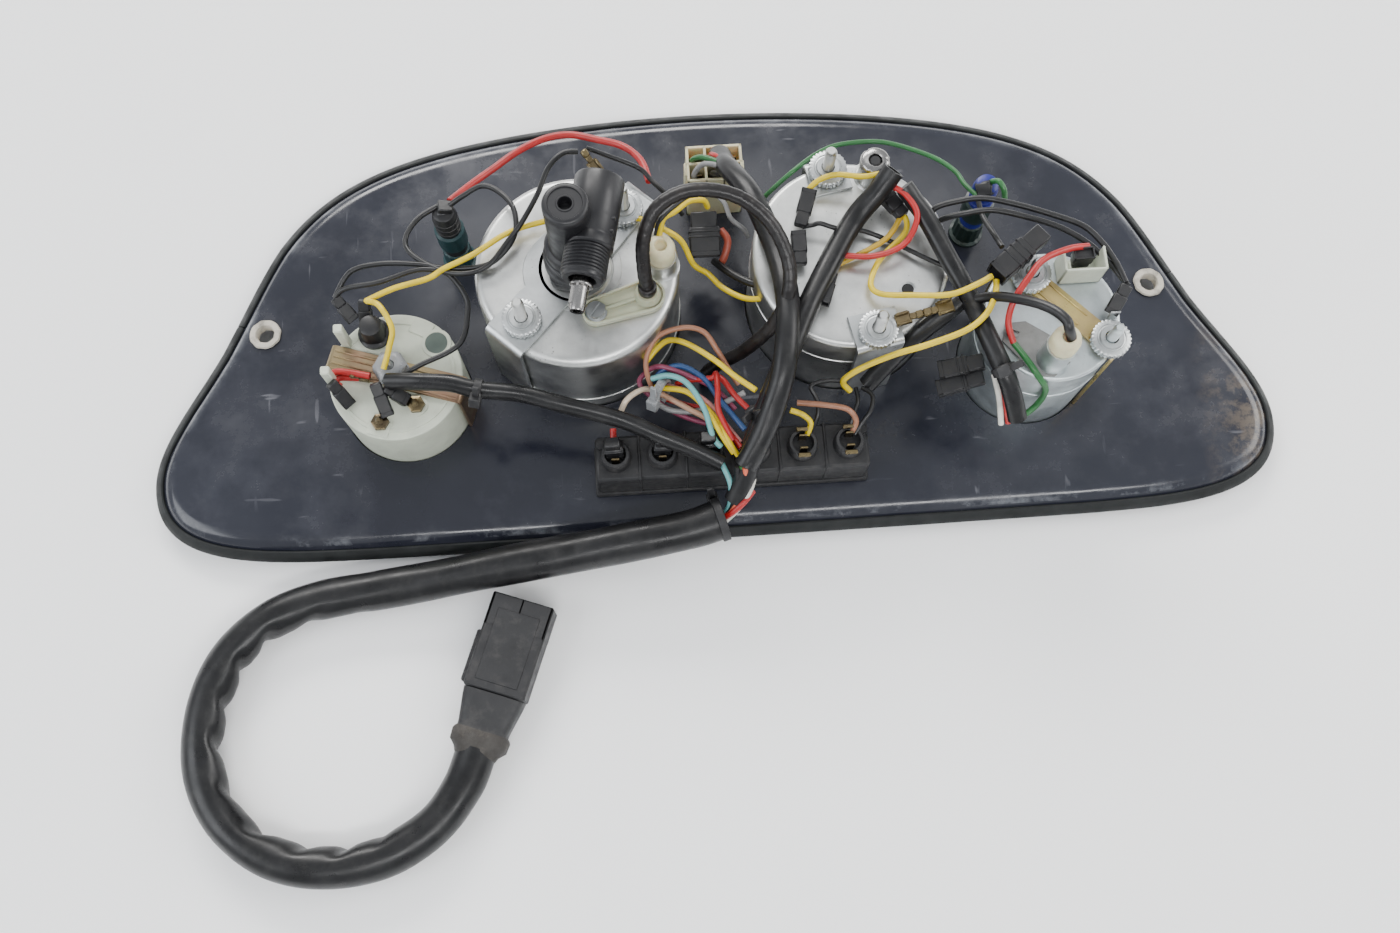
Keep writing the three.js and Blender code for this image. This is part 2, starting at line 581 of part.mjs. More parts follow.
// ---- clock --------------------------------------------------------------------------
const clock = groupAt(CLOCK.x, CLOCK.y);
const CLOCK_TURN = THREE.MathUtils.degToRad(-18);
const CLOCK_NUT = [-1.5, 2.6];
const CLOCK_LAMP = [-8.2, 18.4];
const notch = (angle) => block(24.6, 30, -3.4, 3.4, 40, 50).rotateZ(THREE.MathUtils.degToRad(angle));
const clockCase = carve([
  turned(canProfile(CLOCK), CLOCK.sides),
  block(-21.4, -17.8, 13.6, 17.2, 43, 61),
  block(-26.4, -22.8, -3.8, -0.2, 43, 61),
  rod(2, 43, 52, 8, ...CLOCK_NUT),
  rod(3.4, 43, 46, 8, 8.2, -13), rod(1.6, 43, 49, 8, 8.2, -13),
  rod(3.4, 43, 46, 8, -6.2, -19.6), rod(1.6, 43, 49, 8, -6.2, -19.6),
], [
  rod(4.6, 35, 50, 14, 16.7, 13.2),
  rod(5.4, 35, 50, 14, ...CLOCK_LAMP),
  notch(62), notch(-108),
]);
add('clock_case', clockCase, CASE_WHITE, clock);
add('clock_bezel', bezel(CLOCK, SMALL_BEZEL_OVER), BLACK, clock);
add('clock_glass', glass(CLOCK), GLASS, clock);
add('clock_dial', dial(CLOCK), DIAL_BLACK, clock);
const hourHand = carve([
  rod(2.8, 7, 8.6, 12), plate([[-4, -1.1], [12, -1.1], [13.6, 0], [12, 1.1], [-4, 1.1]], 7.2, 0.8),
], [rod(1.3, 5, 10, 8)]);
add('clock_hour_hand', hourHand.rotateZ(THREE.MathUtils.degToRad(35)), CREAM, clock);
const minuteHand = carve([
  rod(2.4, 4.9, 6.6, 12), plate([[-5, -0.9], [19, -0.8], [20.4, 0], [19, 0.8], [-5, 0.9]], 5.2, 0.8),
  rod(0.9, 6.4, 15, 8),
]);
add('clock_minute_hand', minuteHand.rotateZ(THREE.MathUtils.degToRad(150)), CREAM, clock);
const clockStrapZ = CLOCK.back + GAP;
const clockStrap = carve([
  block(-29.2, 29.2, -5.2, 6.6, clockStrapZ, clockStrapZ + 1.4),
  leg(-27.8, -5.2, 6.6, clockStrapZ + 1.4, 1.4),
  leg(27.8, -5.2, 6.6, clockStrapZ + 1.4, 1.4),
]).rotateZ(CLOCK_TURN);
add('clock_clamp', carve([clockStrap], [
  rod(2.4, 40, 50, 8, ...CLOCK_NUT),
  block(-21.8, -17.4, 13.2, 17.6, 40, 50), block(-26.8, -22.4, -4.2, 0.2, 40, 50),
]), GOLD, clock);
const clockNut = turned(ringProfile([
  [2.4, 45.4], [6.6, 45.4], [6.6, 48], [4.4, 49.4], [4.4, 50.6], [2.4, 50.6],
]), 14);
add('clock_nut', clockNut, CLEAR, clock, ...CLOCK_NUT);
const clockHolder = turned([
  [0, 38.4], [5, 38.4], [5, CLOCK.back + GAP], [6.6, CLOCK.back + GAP], [6.6, 46], [5.6, 51],
  [3.4, 55], [0, 55],
], 14);
add('clock_lamp_holder', clockHolder, BLACK, clock, ...CLOCK_LAMP);

// ---- voltmeter ----------------------------------------------------------------------
const volt = groupAt(VOLT.x, VOLT.y);
const VOLT_TURN = Math.atan2(-0.73, 0.68);
const VOLT_STRAP_N = 6;
const voltStuds = [-17, 23].map((u) => [
  u * Math.cos(VOLT_TURN) - VOLT_STRAP_N * Math.sin(VOLT_TURN),
  u * Math.sin(VOLT_TURN) + VOLT_STRAP_N * Math.cos(VOLT_TURN),
]);
const VOLT_LAMP = [-3, -18.4];
const VOLT_STUD_R = 2.2;
const voltCan = carve([
  turned(canProfile(VOLT), VOLT.sides),
  ...voltStuds.map(([x, y]) => rod(VOLT_STUD_R, VOLT.back - 1, 84, 8, x, y)),
  rod(2.6, VOLT.back - 0.6, VOLT.back + 1.6, 8, -17.5, -6.2),
  block(20.6, 24.6, -3.4, -2.6, VOLT.back - 2, VOLT.back + 8),
  socketTube(...VOLT_LAMP, VOLT.back, 84),
], [rod(SOCKET_R - 0.8, 58, 86, SOCKET_SIDES, ...VOLT_LAMP)]);
add('voltmeter_can', voltCan, ZINC, volt);
add('voltmeter_bezel', bezel(VOLT, SMALL_BEZEL_OVER), BLACK, volt);
add('voltmeter_glass', glass(VOLT), GLASS, volt);
add('voltmeter_dial', dial(VOLT), DIAL_BLACK, volt);
add('voltmeter_pointer', pointer(20, 5, 2.2, 4.4, 5.4, 45), POINTER, volt);
const voltStrapZ = VOLT.back + GAP;
const voltClamp = carve([
  block(-29, 29.2, 1, 11, voltStrapZ, voltStrapZ + 1.4),
  leg(-27.6, 1, 11, voltStrapZ + 1.4, 1.4),
  leg(27.8, 1, 11, voltStrapZ + 1.4, 1.4),
], [-17, 23].map((u) => rod(STUD_R + GAP, 60, 72, 8, u, VOLT_STRAP_N))).rotateZ(VOLT_TURN);
add('voltmeter_clamp', voltClamp, GOLD, volt);
const voltNutZ = voltStrapZ + 1.4 + GAP;
add('voltmeter_nut_upper', knurledNut(voltNutZ), ZINC, volt, ...voltStuds[0]);
add('voltmeter_nut_lower', knurledNut(voltNutZ), ZINC, volt, ...voltStuds[1]);
add('voltmeter_lamp_holder', lampHolder(84, 9), CREAM, volt, ...VOLT_LAMP);
const shield = carve([
  block(3.6, 20.6, 13, 23, voltStrapZ, 81),
], [block(4.6, 19.6, 14, 24, voltStrapZ + 1, 82)]);
add('voltmeter_terminal_shield', shield, CASE_WHITE, volt);

// ---- warning lamp strip -------------------------------------------------------------
const strip = groupAt(STRIP.x, STRIP.y);
const stripBase = PANEL_BACK + GAP;
const [halfL, halfW] = [STRIP.length / 2, STRIP.width / 2];
const bulbX = lampX.map((x) => x - STRIP.x);
const lampHousing = carve([
  block(-halfL, halfL, -halfW, halfW, stripBase, STRIP.top),
  ...bulbX.map((x) => rod(6, STRIP.top - 1, STRIP.top + 6, 10, x, 0)),
], [
  ...bulbX.map((x) => block(x - 8.4, x + 8.4, -halfW + 1.6, halfW - 1.6, 12, STRIP.top - 2)),
  ...bulbX.map((x) => rod(4.4, STRIP.top + 2, STRIP.top + 8, 8, x, 0)),
]);
add('warning_lamp_housing', lampHousing, BLACK, strip);
const lens = carve([
  block(-halfL, halfL, -halfW, halfW, 7.6, PANEL_FRONT - GAP),
  ...bulbX.map((x) => rod(4.6, 9, 12.8, 10, x, 0)),
]);
add('warning_lamp_lens', lens, GLASS, strip);

// ---- pilot lamps --------------------------------------------------------------------
for (const pilot of PILOTS) {
  const body = turned([
    [0, 5], [3.6, 5.6], [5.2, 7.4], [6.6, 7.6], [6.6, PANEL_FRONT - GAP],
    [5.1, PANEL_FRONT - GAP], [5.1, PANEL_BACK + GAP], [6, PANEL_BACK + GAP], [6, 27],
    [5.1, 28], [5.1, PILOT_TOP - 1], [4.2, PILOT_TOP], [0, PILOT_TOP],
  ], 12);
  add(`pilot_lamp_${pilot.side}`, body, BLACK, cluster, pilot.x, pilot.y);
}

// ---- hazard switch ------------------------------------------------------------------
const hazard = groupAt(SWITCH.x, SWITCH.y);
const [sw, sh] = [SWITCH.width / 2, SWITCH.height / 2];
const cells = [];
for (let i = 0; i < 3; i += 1) {
  for (let j = 0; j < 2; j += 1) {
    const x0 = -sw + 1.2 + i * ((SWITCH.width - 1.2) / 3);
    const y0 = -sh + 1.2 + j * ((SWITCH.height - 1.2) / 2);
    cells.push(block(
      x0, x0 + (SWITCH.width - 1.2) / 3 - 1.2, y0, y0 + (SWITCH.height - 1.2) / 2 - 1.2,
      SWITCH.top - 13, SWITCH.top + 1,
    ));
  }
}
const switchBody = carve([
  block(-sw, sw, -sh, sh, 8, SWITCH.top),
  block(-sw - 2.4, sw + 2.4, -sh - 2.4, sh + 2.4, 6.4, PANEL_FRONT - GAP),
], [block(-9.6, 9.6, -7, 7, 5, 13), ...cells]);
add('hazard_switch_body', switchBody, CREAM, hazard);
const rockerSide = new THREE.Shape([
  [-5.9, 4.2], [0, 5.6], [5.9, 4.2], [5.4, 9], [0, 11.6], [-5.4, 9],
].map(([y, z]) => new THREE.Vector2(y, z)));
const rocker = new THREE.ExtrudeGeometry(rockerSide, { depth: 18, bevelEnabled: false })
  .applyMatrix4(new THREE.Matrix4().makeBasis(
    new THREE.Vector3(0, 1, 0), new THREE.Vector3(0, 0, 1), new THREE.Vector3(1, 0, 0),
  ))
  .translate(-9, 0, 0);
add('hazard_switch_rocker', rocker, BLACK, hazard);

// ---- harness and tail ---------------------------------------------------------------
const MAIN_ROUTE = [
  [2.6, -90.6, 33], [7, -83, 40.5], [11, -72, 50], [14.6, -64, 57], [22.6, -48.5, 67],
  [31.6, -30, 70.2], [42.4, -10.4, 70.2], [56, 11.2, 71.5], [66, 20.5, 77], [72.6, 27, 83],
];
add('harness_main', tube(MAIN_ROUTE, HARNESS_R, 8, 18), RUBBER);
const FLOOR_Z = TAIL_R + 0.3;
const TAIL_ROUTE = [
  [-2.2, -96.2, 27], [-14, -99.6, 26.4], [-30, -101.8, 24.6], [-53.5, -104.4, 21.6],
  [-78, -106.6, 18.6], [-103, -109, 14.4], [-126, -111.4, 10.8], [-148, -113.6, 9],
  [-170, -116, FLOOR_Z], [-191, -123, FLOOR_Z], [-207, -137, FLOOR_Z], [-216, -158, FLOOR_Z],
  [-217, -181, FLOOR_Z], [-208, -202, FLOOR_Z], [-191, -216.5, FLOOR_Z],
  [-169, -222.6, FLOOR_Z], [-146, -220.5, FLOOR_Z], [-126, -210, FLOOR_Z],
  [-113.6, -195, FLOOR_Z], [-107.6, -180.6, FLOOR_Z],
];
add('tail_sleeve', tube(TAIL_ROUTE, TAIL_R, 8, 32), RUBBER);
const tailEnd = new THREE.Vector2(-107.6, -180.6);
const tailRun = THREE.MathUtils.degToRad(69.5);
function onTail(geometry) {
  return geometry.rotateZ(tailRun).translate(tailEnd.x, tailEnd.y, 0);
}
const boot = new THREE.ExtrudeGeometry(new THREE.Shape([
  [0.4, -8.6], [12, -11.2], [22, -12], [22, 12], [12, 11.2], [0.4, 8.6],
].map(([x, y]) => new THREE.Vector2(x, y))), {
  depth: 13, bevelEnabled: true, bevelThickness: 1.4, bevelSize: 0, bevelSegments: 1,
}).translate(0, 0, 1.9);
add('tail_boot', onTail(boot), OLD_RUBBER);
const plug = carve([
  block(22.4, 62, -13, 13, 0.5, 16),
  block(24, 46, 13, 15.6, 3, 9),
], [block(50, 64, -11.4, -0.8, 2.4, 14), block(50, 64, 0.8, 11.4, 2.4, 14)]);
add('tail_plug', onTail(plug), BLACK);

export default cluster;
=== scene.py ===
# The rear side of a touring-motorcycle instrument cluster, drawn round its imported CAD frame.
# Shapes are given in millimetres, in the CAD frame, and turned into metres as meshes are made.
import math

import bmesh
import bpy
from mathutils import Matrix, Vector


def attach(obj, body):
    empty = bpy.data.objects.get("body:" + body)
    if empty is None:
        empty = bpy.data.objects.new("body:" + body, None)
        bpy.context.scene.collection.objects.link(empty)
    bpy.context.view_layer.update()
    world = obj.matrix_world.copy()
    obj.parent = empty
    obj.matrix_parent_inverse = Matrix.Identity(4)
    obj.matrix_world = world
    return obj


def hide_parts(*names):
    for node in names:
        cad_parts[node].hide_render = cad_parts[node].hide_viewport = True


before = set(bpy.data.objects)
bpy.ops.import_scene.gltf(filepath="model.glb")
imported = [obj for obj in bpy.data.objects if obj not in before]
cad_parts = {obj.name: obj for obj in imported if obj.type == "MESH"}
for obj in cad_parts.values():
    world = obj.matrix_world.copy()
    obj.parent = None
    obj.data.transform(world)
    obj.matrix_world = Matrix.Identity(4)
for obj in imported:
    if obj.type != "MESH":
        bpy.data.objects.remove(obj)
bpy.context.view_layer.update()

MM = 0.001
ROOT = "cluster"

# ---- driving dimensions, as in the CAD ---------------------------------------------------
PANEL_FRONT, PANEL_BACK = 10.0, 13.0
LIP_INSET, LIP_Z = 1.7, 5.9
MOUNTS = [("left", -193.7, 1.2), ("right", 193.7, 1.2)]
SPEEDO = dict(x=-55.4, y=1.2, r=41.2, back=63.7, round=3.6)
TACHO = dict(x=55.4, y=1.2, r=40.2, back=64.0, round=2.4)
CLOCK = dict(x=-131.8, y=-32.4, r=27.1, back=43.4, round=0.8)
VOLT = dict(x=131.8, y=-32.4, r=27.1, back=67.5, round=1.4)
CAN_FRONT = 3.8
CAN_WALL = 1.2
DIAL_Z = 9.0
STUD_TIP = 84
NUT_Z = dict(speedo=65.9, tacho=66.2, voltmeter=69.5)
STRIP = dict(x=3.0, y=-70.4, length=112.0, width=19.0, top=35.0, pitch=19.05, count=6)
SWITCH = dict(x=4.4, y=55.2, width=24.0, height=16.6, top=44.5)
PILOTS = [("left", -108.8, 31.5), ("right", 115.6, 30.5)]
KNOB = (-5.0, -32.0)
# Lamp sockets: x, y, the top of the socket, and the height of the holder above it.
SOCKETS = dict(speedo=(-21.4, 0.6, 73.0, 10.0), tacho=(66.8, 34.4, 74.0, 4.4),
               volt=(128.8, -50.8, 84.0, 9.0))
BARREL = dict(at=(-47.086, -0.567, 103.0), turn=-102.0)
FLOOR_GAP = 0.3
FLOOR_HALF = 2500
FLOOR_DROP = 0.2
TAIL_R = 8.2
HARNESS_R = 4.4
HOSE_R = 2.8

# ---- camera ------------------------------------------------------------------------------
CAMERA = dict(at=(-28.467, -224.265, 569.651), yaw=-6.8395, pitch=74.406, roll=2.9885, lens=35.063)


def make_camera():
    yaw, pitch, roll = (math.radians(CAMERA[k]) for k in ("yaw", "pitch", "roll"))
    ahead = Vector((-math.sin(yaw) * math.cos(pitch), math.cos(yaw) * math.cos(pitch),
                    -math.sin(pitch)))
    level = Vector((math.cos(yaw), math.sin(yaw), 0))
    above = level.cross(ahead)
    right = math.cos(roll) * level + math.sin(roll) * above
    up = -math.sin(roll) * level + math.cos(roll) * above
    data = bpy.data.cameras.new("camera")
    data.lens = CAMERA["lens"]
    data.sensor_width = 36
    data.clip_start = 0.01
    camera = show("camera", data)
    turn = Matrix((right, up, -ahead)).transposed().to_4x4()
    camera.matrix_world = Matrix.Translation(Vector(CAMERA["at"]) * MM) @ turn
    bpy.context.scene.camera = camera


# ---- shapes ------------------------------------------------------------------------------
BOTH_ENDS, NO_ENDS = (True, True), (False, False)
SMOOTH = 38  # degrees between faces that are still shaded as one


def show(name, data):
    thing = bpy.data.objects.new(name, data)
    bpy.context.scene.collection.objects.link(thing)
    return thing


def post(x, y):
    """The frame of something that stands upright at (x, y)."""
    return Matrix.Translation((x, y, 0))


def at_gauge(g, degrees=0.0):
    return post(g["x"], g["y"]) @ Matrix.Rotation(math.radians(degrees), 4, "Z")


def spline(points, per=6):
    """Points along a smooth curve through the given ones."""
    p = [Vector(q) for q in points]
    out = []
    for i in range(len(p) - 1):
        a, b, c, d = p[max(i - 1, 0)], p[i], p[i + 1], p[min(i + 2, len(p) - 1)]
        for k in range(per):
            t = k / per
            out.append(0.5 * (2 * b + (c - a) * t + (2 * a - 5 * b + 4 * c - d) * t ** 2
                              + (3 * b - a - 3 * c + d) * t ** 3))
    out.append(p[-1])
    return out


def frames_along(path):
    """(point, side, up) at each point of a path, turned as little as possible."""
    out = []
    side = None
    for i, p in enumerate(path):
        run = (path[min(i + 1, len(path) - 1)] - path[max(i - 1, 0)]).normalized()
        if side is None:
            side = run.cross(Vector((0, 0, 1)))
            if side.length < 0.1:
                side = Vector((1, 0, 0))
        side = (side - run * side.dot(run)).normalized()
        out.append((p, side, run.cross(side)))
    return out


def join_rings(bm, rings, ends=BOTH_ENDS):
    """Quads between rings of vertices, with a face over each end that is asked for."""
    count = len(rings[0])
    for a, b in zip(rings, rings[1:]):
        for j in range(count):
            k = (j + 1) % count
            bm.faces.new((a[j], a[k], b[k], b[j]))
    if ends[0]:
        bm.faces.new(list(reversed(rings[0])))
    if ends[1]:
        bm.faces.new(rings[-1])


def sweep(bm, path, radius, sides=12, ends=BOTH_ENDS, shape=None):
    """A tube along a path. shape(i, angle) scales its radius."""
    rings = []
    for i, (p, side, up) in enumerate(frames_along(path)):
        ring = []
        for j in range(sides):
            angle = 2 * math.pi * j / sides
            r = radius * (shape(i, angle) if shape else 1)
            spot = p + side * math.cos(angle) * r + up * math.sin(angle) * r
            ring.append(bm.verts.new(spot * MM))
        rings.append(ring)
    join_rings(bm, rings, ends)


def place(origin, along, near_x=(1, 0, 0)):
    """A local frame at origin whose Z runs along a direction, and whose X is near another."""
    z = Vector(along).normalized()
    x = Vector(near_x) - z * Vector(near_x).dot(z)
    x.normalize()
    return Matrix.Translation(origin) @ Matrix((x, z.cross(x), z)).transposed().to_4x4()


def lathe(bm, profile, at=None, sides=64, teeth=None):
    """A profile of (radius, z) turned about local Z. teeth(z, angle) scales the radius."""
    at = at or Matrix()
    rings = []
    for r, z in profile:
        if r == 0:
            rings.append([bm.verts.new((at @ Vector((0, 0, z))) * MM)])
            continue
        ring = []
        for j in range(sides):
            angle = 2 * math.pi * j / sides
            q = r * (teeth(z, angle) if teeth else 1)
            ring.append(bm.verts.new((at @ Vector((q * math.cos(angle), q * math.sin(angle),
                                                   z))) * MM))
        rings.append(ring)
    for a, b in zip(rings, rings[1:]):
        for j in range(sides):
            k = (j + 1) % sides
            corners = [a[j % len(a)], a[k % len(a)], b[k % len(b)], b[j % len(b)]]
            corners = [v for i, v in enumerate(corners) if v not in corners[:i]]
            if len(corners) > 2:
                bm.faces.new(corners)


def disc(bm, at, radius, z0, z1, sides):
    lathe(bm, [(0, z0), (radius, z0), (radius, z1), (0, z1)], at, sides)


def ring_lathe(bm, profile, at=None, sides=64, teeth=None):
    lathe(bm, profile + [profile[0]], at, sides, teeth)


def knurl(count, depth, low, high, power=1):
    """Teeth for lathe: grooves of one depth between two heights."""
    def teeth(z, angle):
        return 1 - depth * (0.5 + 0.5 * math.cos(count * angle)) ** power if low < z < high else 1
    return teeth


def hexagon(size, low=-math.inf, high=math.inf, turn=0.0, blunt=0.0):
    """Teeth for lathe: six flats between two heights, with blunted corners if asked."""
    def teeth(z, angle):
        if not low < z < high:
            return 1
        return size / max(math.cos((angle + turn) % (math.pi / 3) - math.pi / 6), blunt)
    return teeth


def arc(radius, x, z, start, end, steps=5):
    """Profile points round a corner, in degrees from +x towards +z."""
    out = []
    for i in range(steps + 1):
        angle = math.radians(start + (end - start) * i / steps)
        out.append((x + radius * math.cos(angle), z + radius * math.sin(angle)))
    return out


def prism(bm, outline, z0, z1, at):
    """An outline of (x, y) points stood between two heights."""
    rings = [[bm.verts.new((at @ Vector((x, y, z))) * MM) for x, y in outline] for z in (z0, z1)]
    join_rings(bm, rings)


def block(bm, lo, hi, at=None, soft=0.4):
    """A box with chamfered edges."""
    at = at or Matrix()
    soft = min(soft, 0.4 * min(h - l for l, h in zip(lo, hi)))
    made = []
    rings = []
    for z, inset in ((lo[2], soft), (lo[2] + soft, 0), (hi[2] - soft, 0), (hi[2], soft)):
        corner = max(soft - inset, 0)
        ring = []
        for x, y, dx, dy in ((lo[0], lo[1], 1, 1), (hi[0], lo[1], -1, 1),
                             (hi[0], hi[1], -1, -1), (lo[0], hi[1], 1, -1)):
            x, y = x + dx * inset, y + dy * inset
            first = (x, y + dy * corner) if dx == dy else (x + dx * corner, y)
            second = (x + dx * corner, y) if dx == dy else (x, y + dy * corner)
            for px, py in (first, second):
                ring.append(bm.verts.new((at @ Vector((px, py, z))) * MM))
        rings.append(ring)
        made += ring
    join_rings(bm, rings)
    bmesh.ops.remove_doubles(bm, verts=made, dist=1e-7)


def finish_mesh(name, bm, material, body=ROOT, replaces=(), smooth=SMOOTH):
    """Closes a bmesh into a named piece that rides on a body, with the given materials."""
    bmesh.ops.recalc_face_normals(bm, faces=bm.faces)
    data = bpy.data.meshes.new(name)
    bm.to_mesh(data)
    bm.free()
    data.polygons.foreach_set("use_smooth", [True] * len(data.polygons))
    data.set_sharp_from_angle(angle=math.radians(smooth))
    piece = show(name, data)
    materials = material if isinstance(material, list) else [material]
    for m in materials:
        data.materials.append(m)
    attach(piece, body)
    if replaces:
        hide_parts(*replaces)
    return piece


def skin(name, bm, material, body=ROOT, smooth=SMOOTH):
    """The piece that is drawn in place of the CAD node of that name."""
    return finish_mesh(name + "_skin", bm, material, body, [name], smooth)


make_camera()


# ---- materials ---------------------------------------------------------------------------
class Nodes:
    """A material's node tree, with short calls for the nodes used here."""

    def __init__(self, name):
        self.material = bpy.data.materials.new(name)
        self.material.use_nodes = True
        self.tree = self.material.node_tree
        self.shader = self.tree.nodes["Principled BSDF"]
        self.place = self.add("ShaderNodeTexCoord").outputs["Object"]

    def add(self, kind, **values):
        node = self.tree.nodes.new(kind)
        for key, value in values.items():
            if hasattr(node, key):
                setattr(node, key, value)
            else:
                node.inputs[key.replace("_", " ")].default_value = value
        return node

    def link(self, source, target):
        self.tree.links.new(source, target)

    def noise(self, scale, detail=4.0, rough=0.55, stretch=None):
        node = self.add("ShaderNodeTexNoise", Scale=scale, Detail=detail, Roughness=rough)
        source = self.place
        if stretch:
            mapping = self.add("ShaderNodeMapping")
            mapping.inputs["Scale"].default_value = stretch
            self.link(source, mapping.inputs["Vector"])
            source = mapping.outputs["Vector"]
        self.link(source, node.inputs["Vector"])
        return node.outputs["Fac"]

    def ramp(self, source, low, high, start=0.0, end=1.0):
        """Maps low..high of a value to start..end, held at both ends."""
        node = self.add("ShaderNodeMapRange")
        for key, value in (("From Min", low), ("From Max", high), ("To Min", start),
                           ("To Max", end)):
            node.inputs[key].default_value = value
        self.link(source, node.inputs["Value"])
        return node.outputs["Result"]

    def math(self, operation, a, b):
        node = self.add("ShaderNodeMath", operation=operation)
        for i, value in enumerate((a, b)):
            if isinstance(value, (int, float)):
                node.inputs[i].default_value = value
            else:
                self.link(value, node.inputs[i])
        return node.outputs[0]

    def mix(self, amount, a, b):
        node = self.add("ShaderNodeMix", data_type="RGBA")
        self.link(amount, node.inputs["Factor"])
        for socket, value in ((node.inputs[6], a), (node.inputs[7], b)):
            if isinstance(value, tuple):
                socket.default_value = (*value, 1)
            else:
                self.link(value, socket)
        return node.outputs[2]

    def bump(self, height, strength, distance):
        node = self.add("ShaderNodeBump", Strength=strength, Distance=distance)
        self.link(height, node.inputs["Height"])
        self.link(node.outputs["Normal"], self.shader.inputs["Normal"])

    def done(self, colour, roughness, metal=0.0, **extra):
        for socket, value in (("Base Color", colour), ("Roughness", roughness)):
            if isinstance(value, (int, float)):
                self.shader.inputs[socket].default_value = value
            elif isinstance(value, tuple):
                self.shader.inputs[socket].default_value = (*value, 1)
            else:
                self.link(value, self.shader.inputs[socket])
        self.shader.inputs["Metallic"].default_value = metal
        for key, value in extra.items():
            self.shader.inputs[key.replace("_", " ")].default_value = value
        return self.material


def moulded(name, colour, dirt, rough, soil, grain=0.12, **extra):
    """Moulded or painted stuff: a little colour drift, grime in patches, and a fine grain."""
    n = Nodes(name)
    drift = n.ramp(n.noise(60), 0.35, 0.7)
    pale = tuple(min(1.0, c * 1.25 + 0.004) for c in colour)
    base = n.mix(drift, colour, pale)
    grime = n.ramp(n.noise(170, 6, 0.65), 0.5, 0.72, 0, soil)
    mixed = n.mix(grime, base, dirt)
    n.bump(n.noise(1400, 3), grain, 0.0002)
    return n.done(mixed, n.ramp(n.noise(220), 0.3, 0.7, rough * 0.8, min(1, rough * 1.25)), **extra)


def shell_material():
    n = Nodes("shell")
    broad = n.ramp(n.noise(9, 5, 0.6), 0.35, 0.68)
    base = n.mix(broad, (0.011, 0.012, 0.019), (0.019, 0.021, 0.030))
    dust = n.ramp(n.noise(24, 8, 0.66), 0.46, 0.80, 0, 0.42)
    dusty = n.mix(dust, base, (0.060, 0.062, 0.074))
    hair = n.noise(240, 2, 0.5, (0.16, 1.0, 1.0))
    other = n.noise(260, 2, 0.5, (1.0, 0.14, 1.0))
    scratch = n.math("MAXIMUM", n.ramp(hair, 0.70, 0.74, 0, 0.6), n.ramp(other, 0.71, 0.75, 0, 0.5))
    scratch = n.math("MULTIPLY", scratch, n.ramp(n.noise(12), 0.45, 0.65))
    scratched = n.mix(scratch, dusty, (0.16, 0.16, 0.18))
    # Pale wear and painted sheen where the rim rolls over, broken up, and brown soil towards the
    # lower right corner.
    split = n.add("ShaderNodeSeparateXYZ")
    n.link(n.place, split.inputs[0])
    depth = n.math("MULTIPLY", n.ramp(split.outputs["Z"], 0.0129, 0.0112),
                   n.ramp(split.outputs["Z"], 0.0101, 0.0105))
    worn = n.math("MULTIPLY", depth, n.ramp(n.noise(46, 9, 0.7), 0.48, 0.66, 0, 0.62))
    rubbed_and_sheen = n.mix(worn, scratched, (0.24, 0.25, 0.27))
    corner = n.math("MULTIPLY", n.ramp(split.outputs["X"], 0.205, 0.240),
                    n.ramp(split.outputs["Y"], 0.0, -0.05))
    soil = n.math("MULTIPLY", corner, n.ramp(n.noise(90, 8, 0.75), 0.47, 0.60, 0, 0.85))
    soiled = n.mix(soil, rubbed_and_sheen, (0.15, 0.118, 0.084))
    n.bump(n.noise(60, 4, 0.5), 0.06, 0.0012)
    rough = n.math("ADD", n.ramp(n.noise(48, 6, 0.7), 0.35, 0.7, 0.13, 0.27),
                   n.math("MULTIPLY", dust, 0.35))
    return n.done(soiled, rough, 0.0, Specular_IOR_Level=0.55)


def plated(name, colour, rough=0.32, specks=0.6, scale=1.0, tint=None):
    """Zinc or chromate plate: a cloudy bright metal with fine dark specks."""
    n = Nodes(name)
    cloud = n.ramp(n.noise(55 * scale, 6, 0.65), 0.35, 0.68)
    base = n.mix(cloud, tuple(c * 0.72 for c in colour), colour)
    if tint:
        base = n.mix(n.ramp(n.noise(26 * scale, 4, 0.6), 0.42, 0.66, 0, 0.8), base, tint)
    cells = n.add("ShaderNodeTexVoronoi", Scale=620 * scale)
    n.link(n.place, cells.inputs["Vector"])
    dots = n.math("MULTIPLY", n.ramp(cells.outputs["Distance"], 0.26, 0.14),
                  n.ramp(n.noise(70 * scale, 6, 0.7), 0.53, 0.66, 0, specks))
    base = n.mix(dots, base, (0.07, 0.065, 0.055))
    n.bump(n.noise(900 * scale, 3), 0.035, 0.0002)
    return n.done(base, n.ramp(n.noise(80 * scale, 6, 0.7), 0.3, 0.7, rough * 0.75, rough * 1.35),
                  1.0)


def rubbery(name, colour, dust, amount, rough):
    """Sleeving, hose or trim: near black, dusted in streaks."""
    n = Nodes(name)
    base = n.mix(n.ramp(n.noise(90, 5), 0.35, 0.7), colour, tuple(c * 1.7 + 0.004 for c in colour))
    dusty = n.mix(n.ramp(n.noise(130, 7, 0.7), 0.5, 0.75, 0, amount), base, dust)
    n.bump(n.noise(700, 4), 0.15, 0.0003)
    return n.done(dusty, n.ramp(n.noise(110, 6), 0.3, 0.7, rough * 0.75, min(1, rough * 1.3)),
                  Specular_IOR_Level=0.36)


def clear(name, colour, alpha, rough):
    n = Nodes(name)
    n.bump(n.noise(300, 3), 0.03, 0.0001)
    haze = n.ramp(n.noise(40, 5), 0.3, 0.7, rough * 0.7, rough * 1.4)
    return n.done(colour, haze, Alpha=alpha, IOR=1.5)


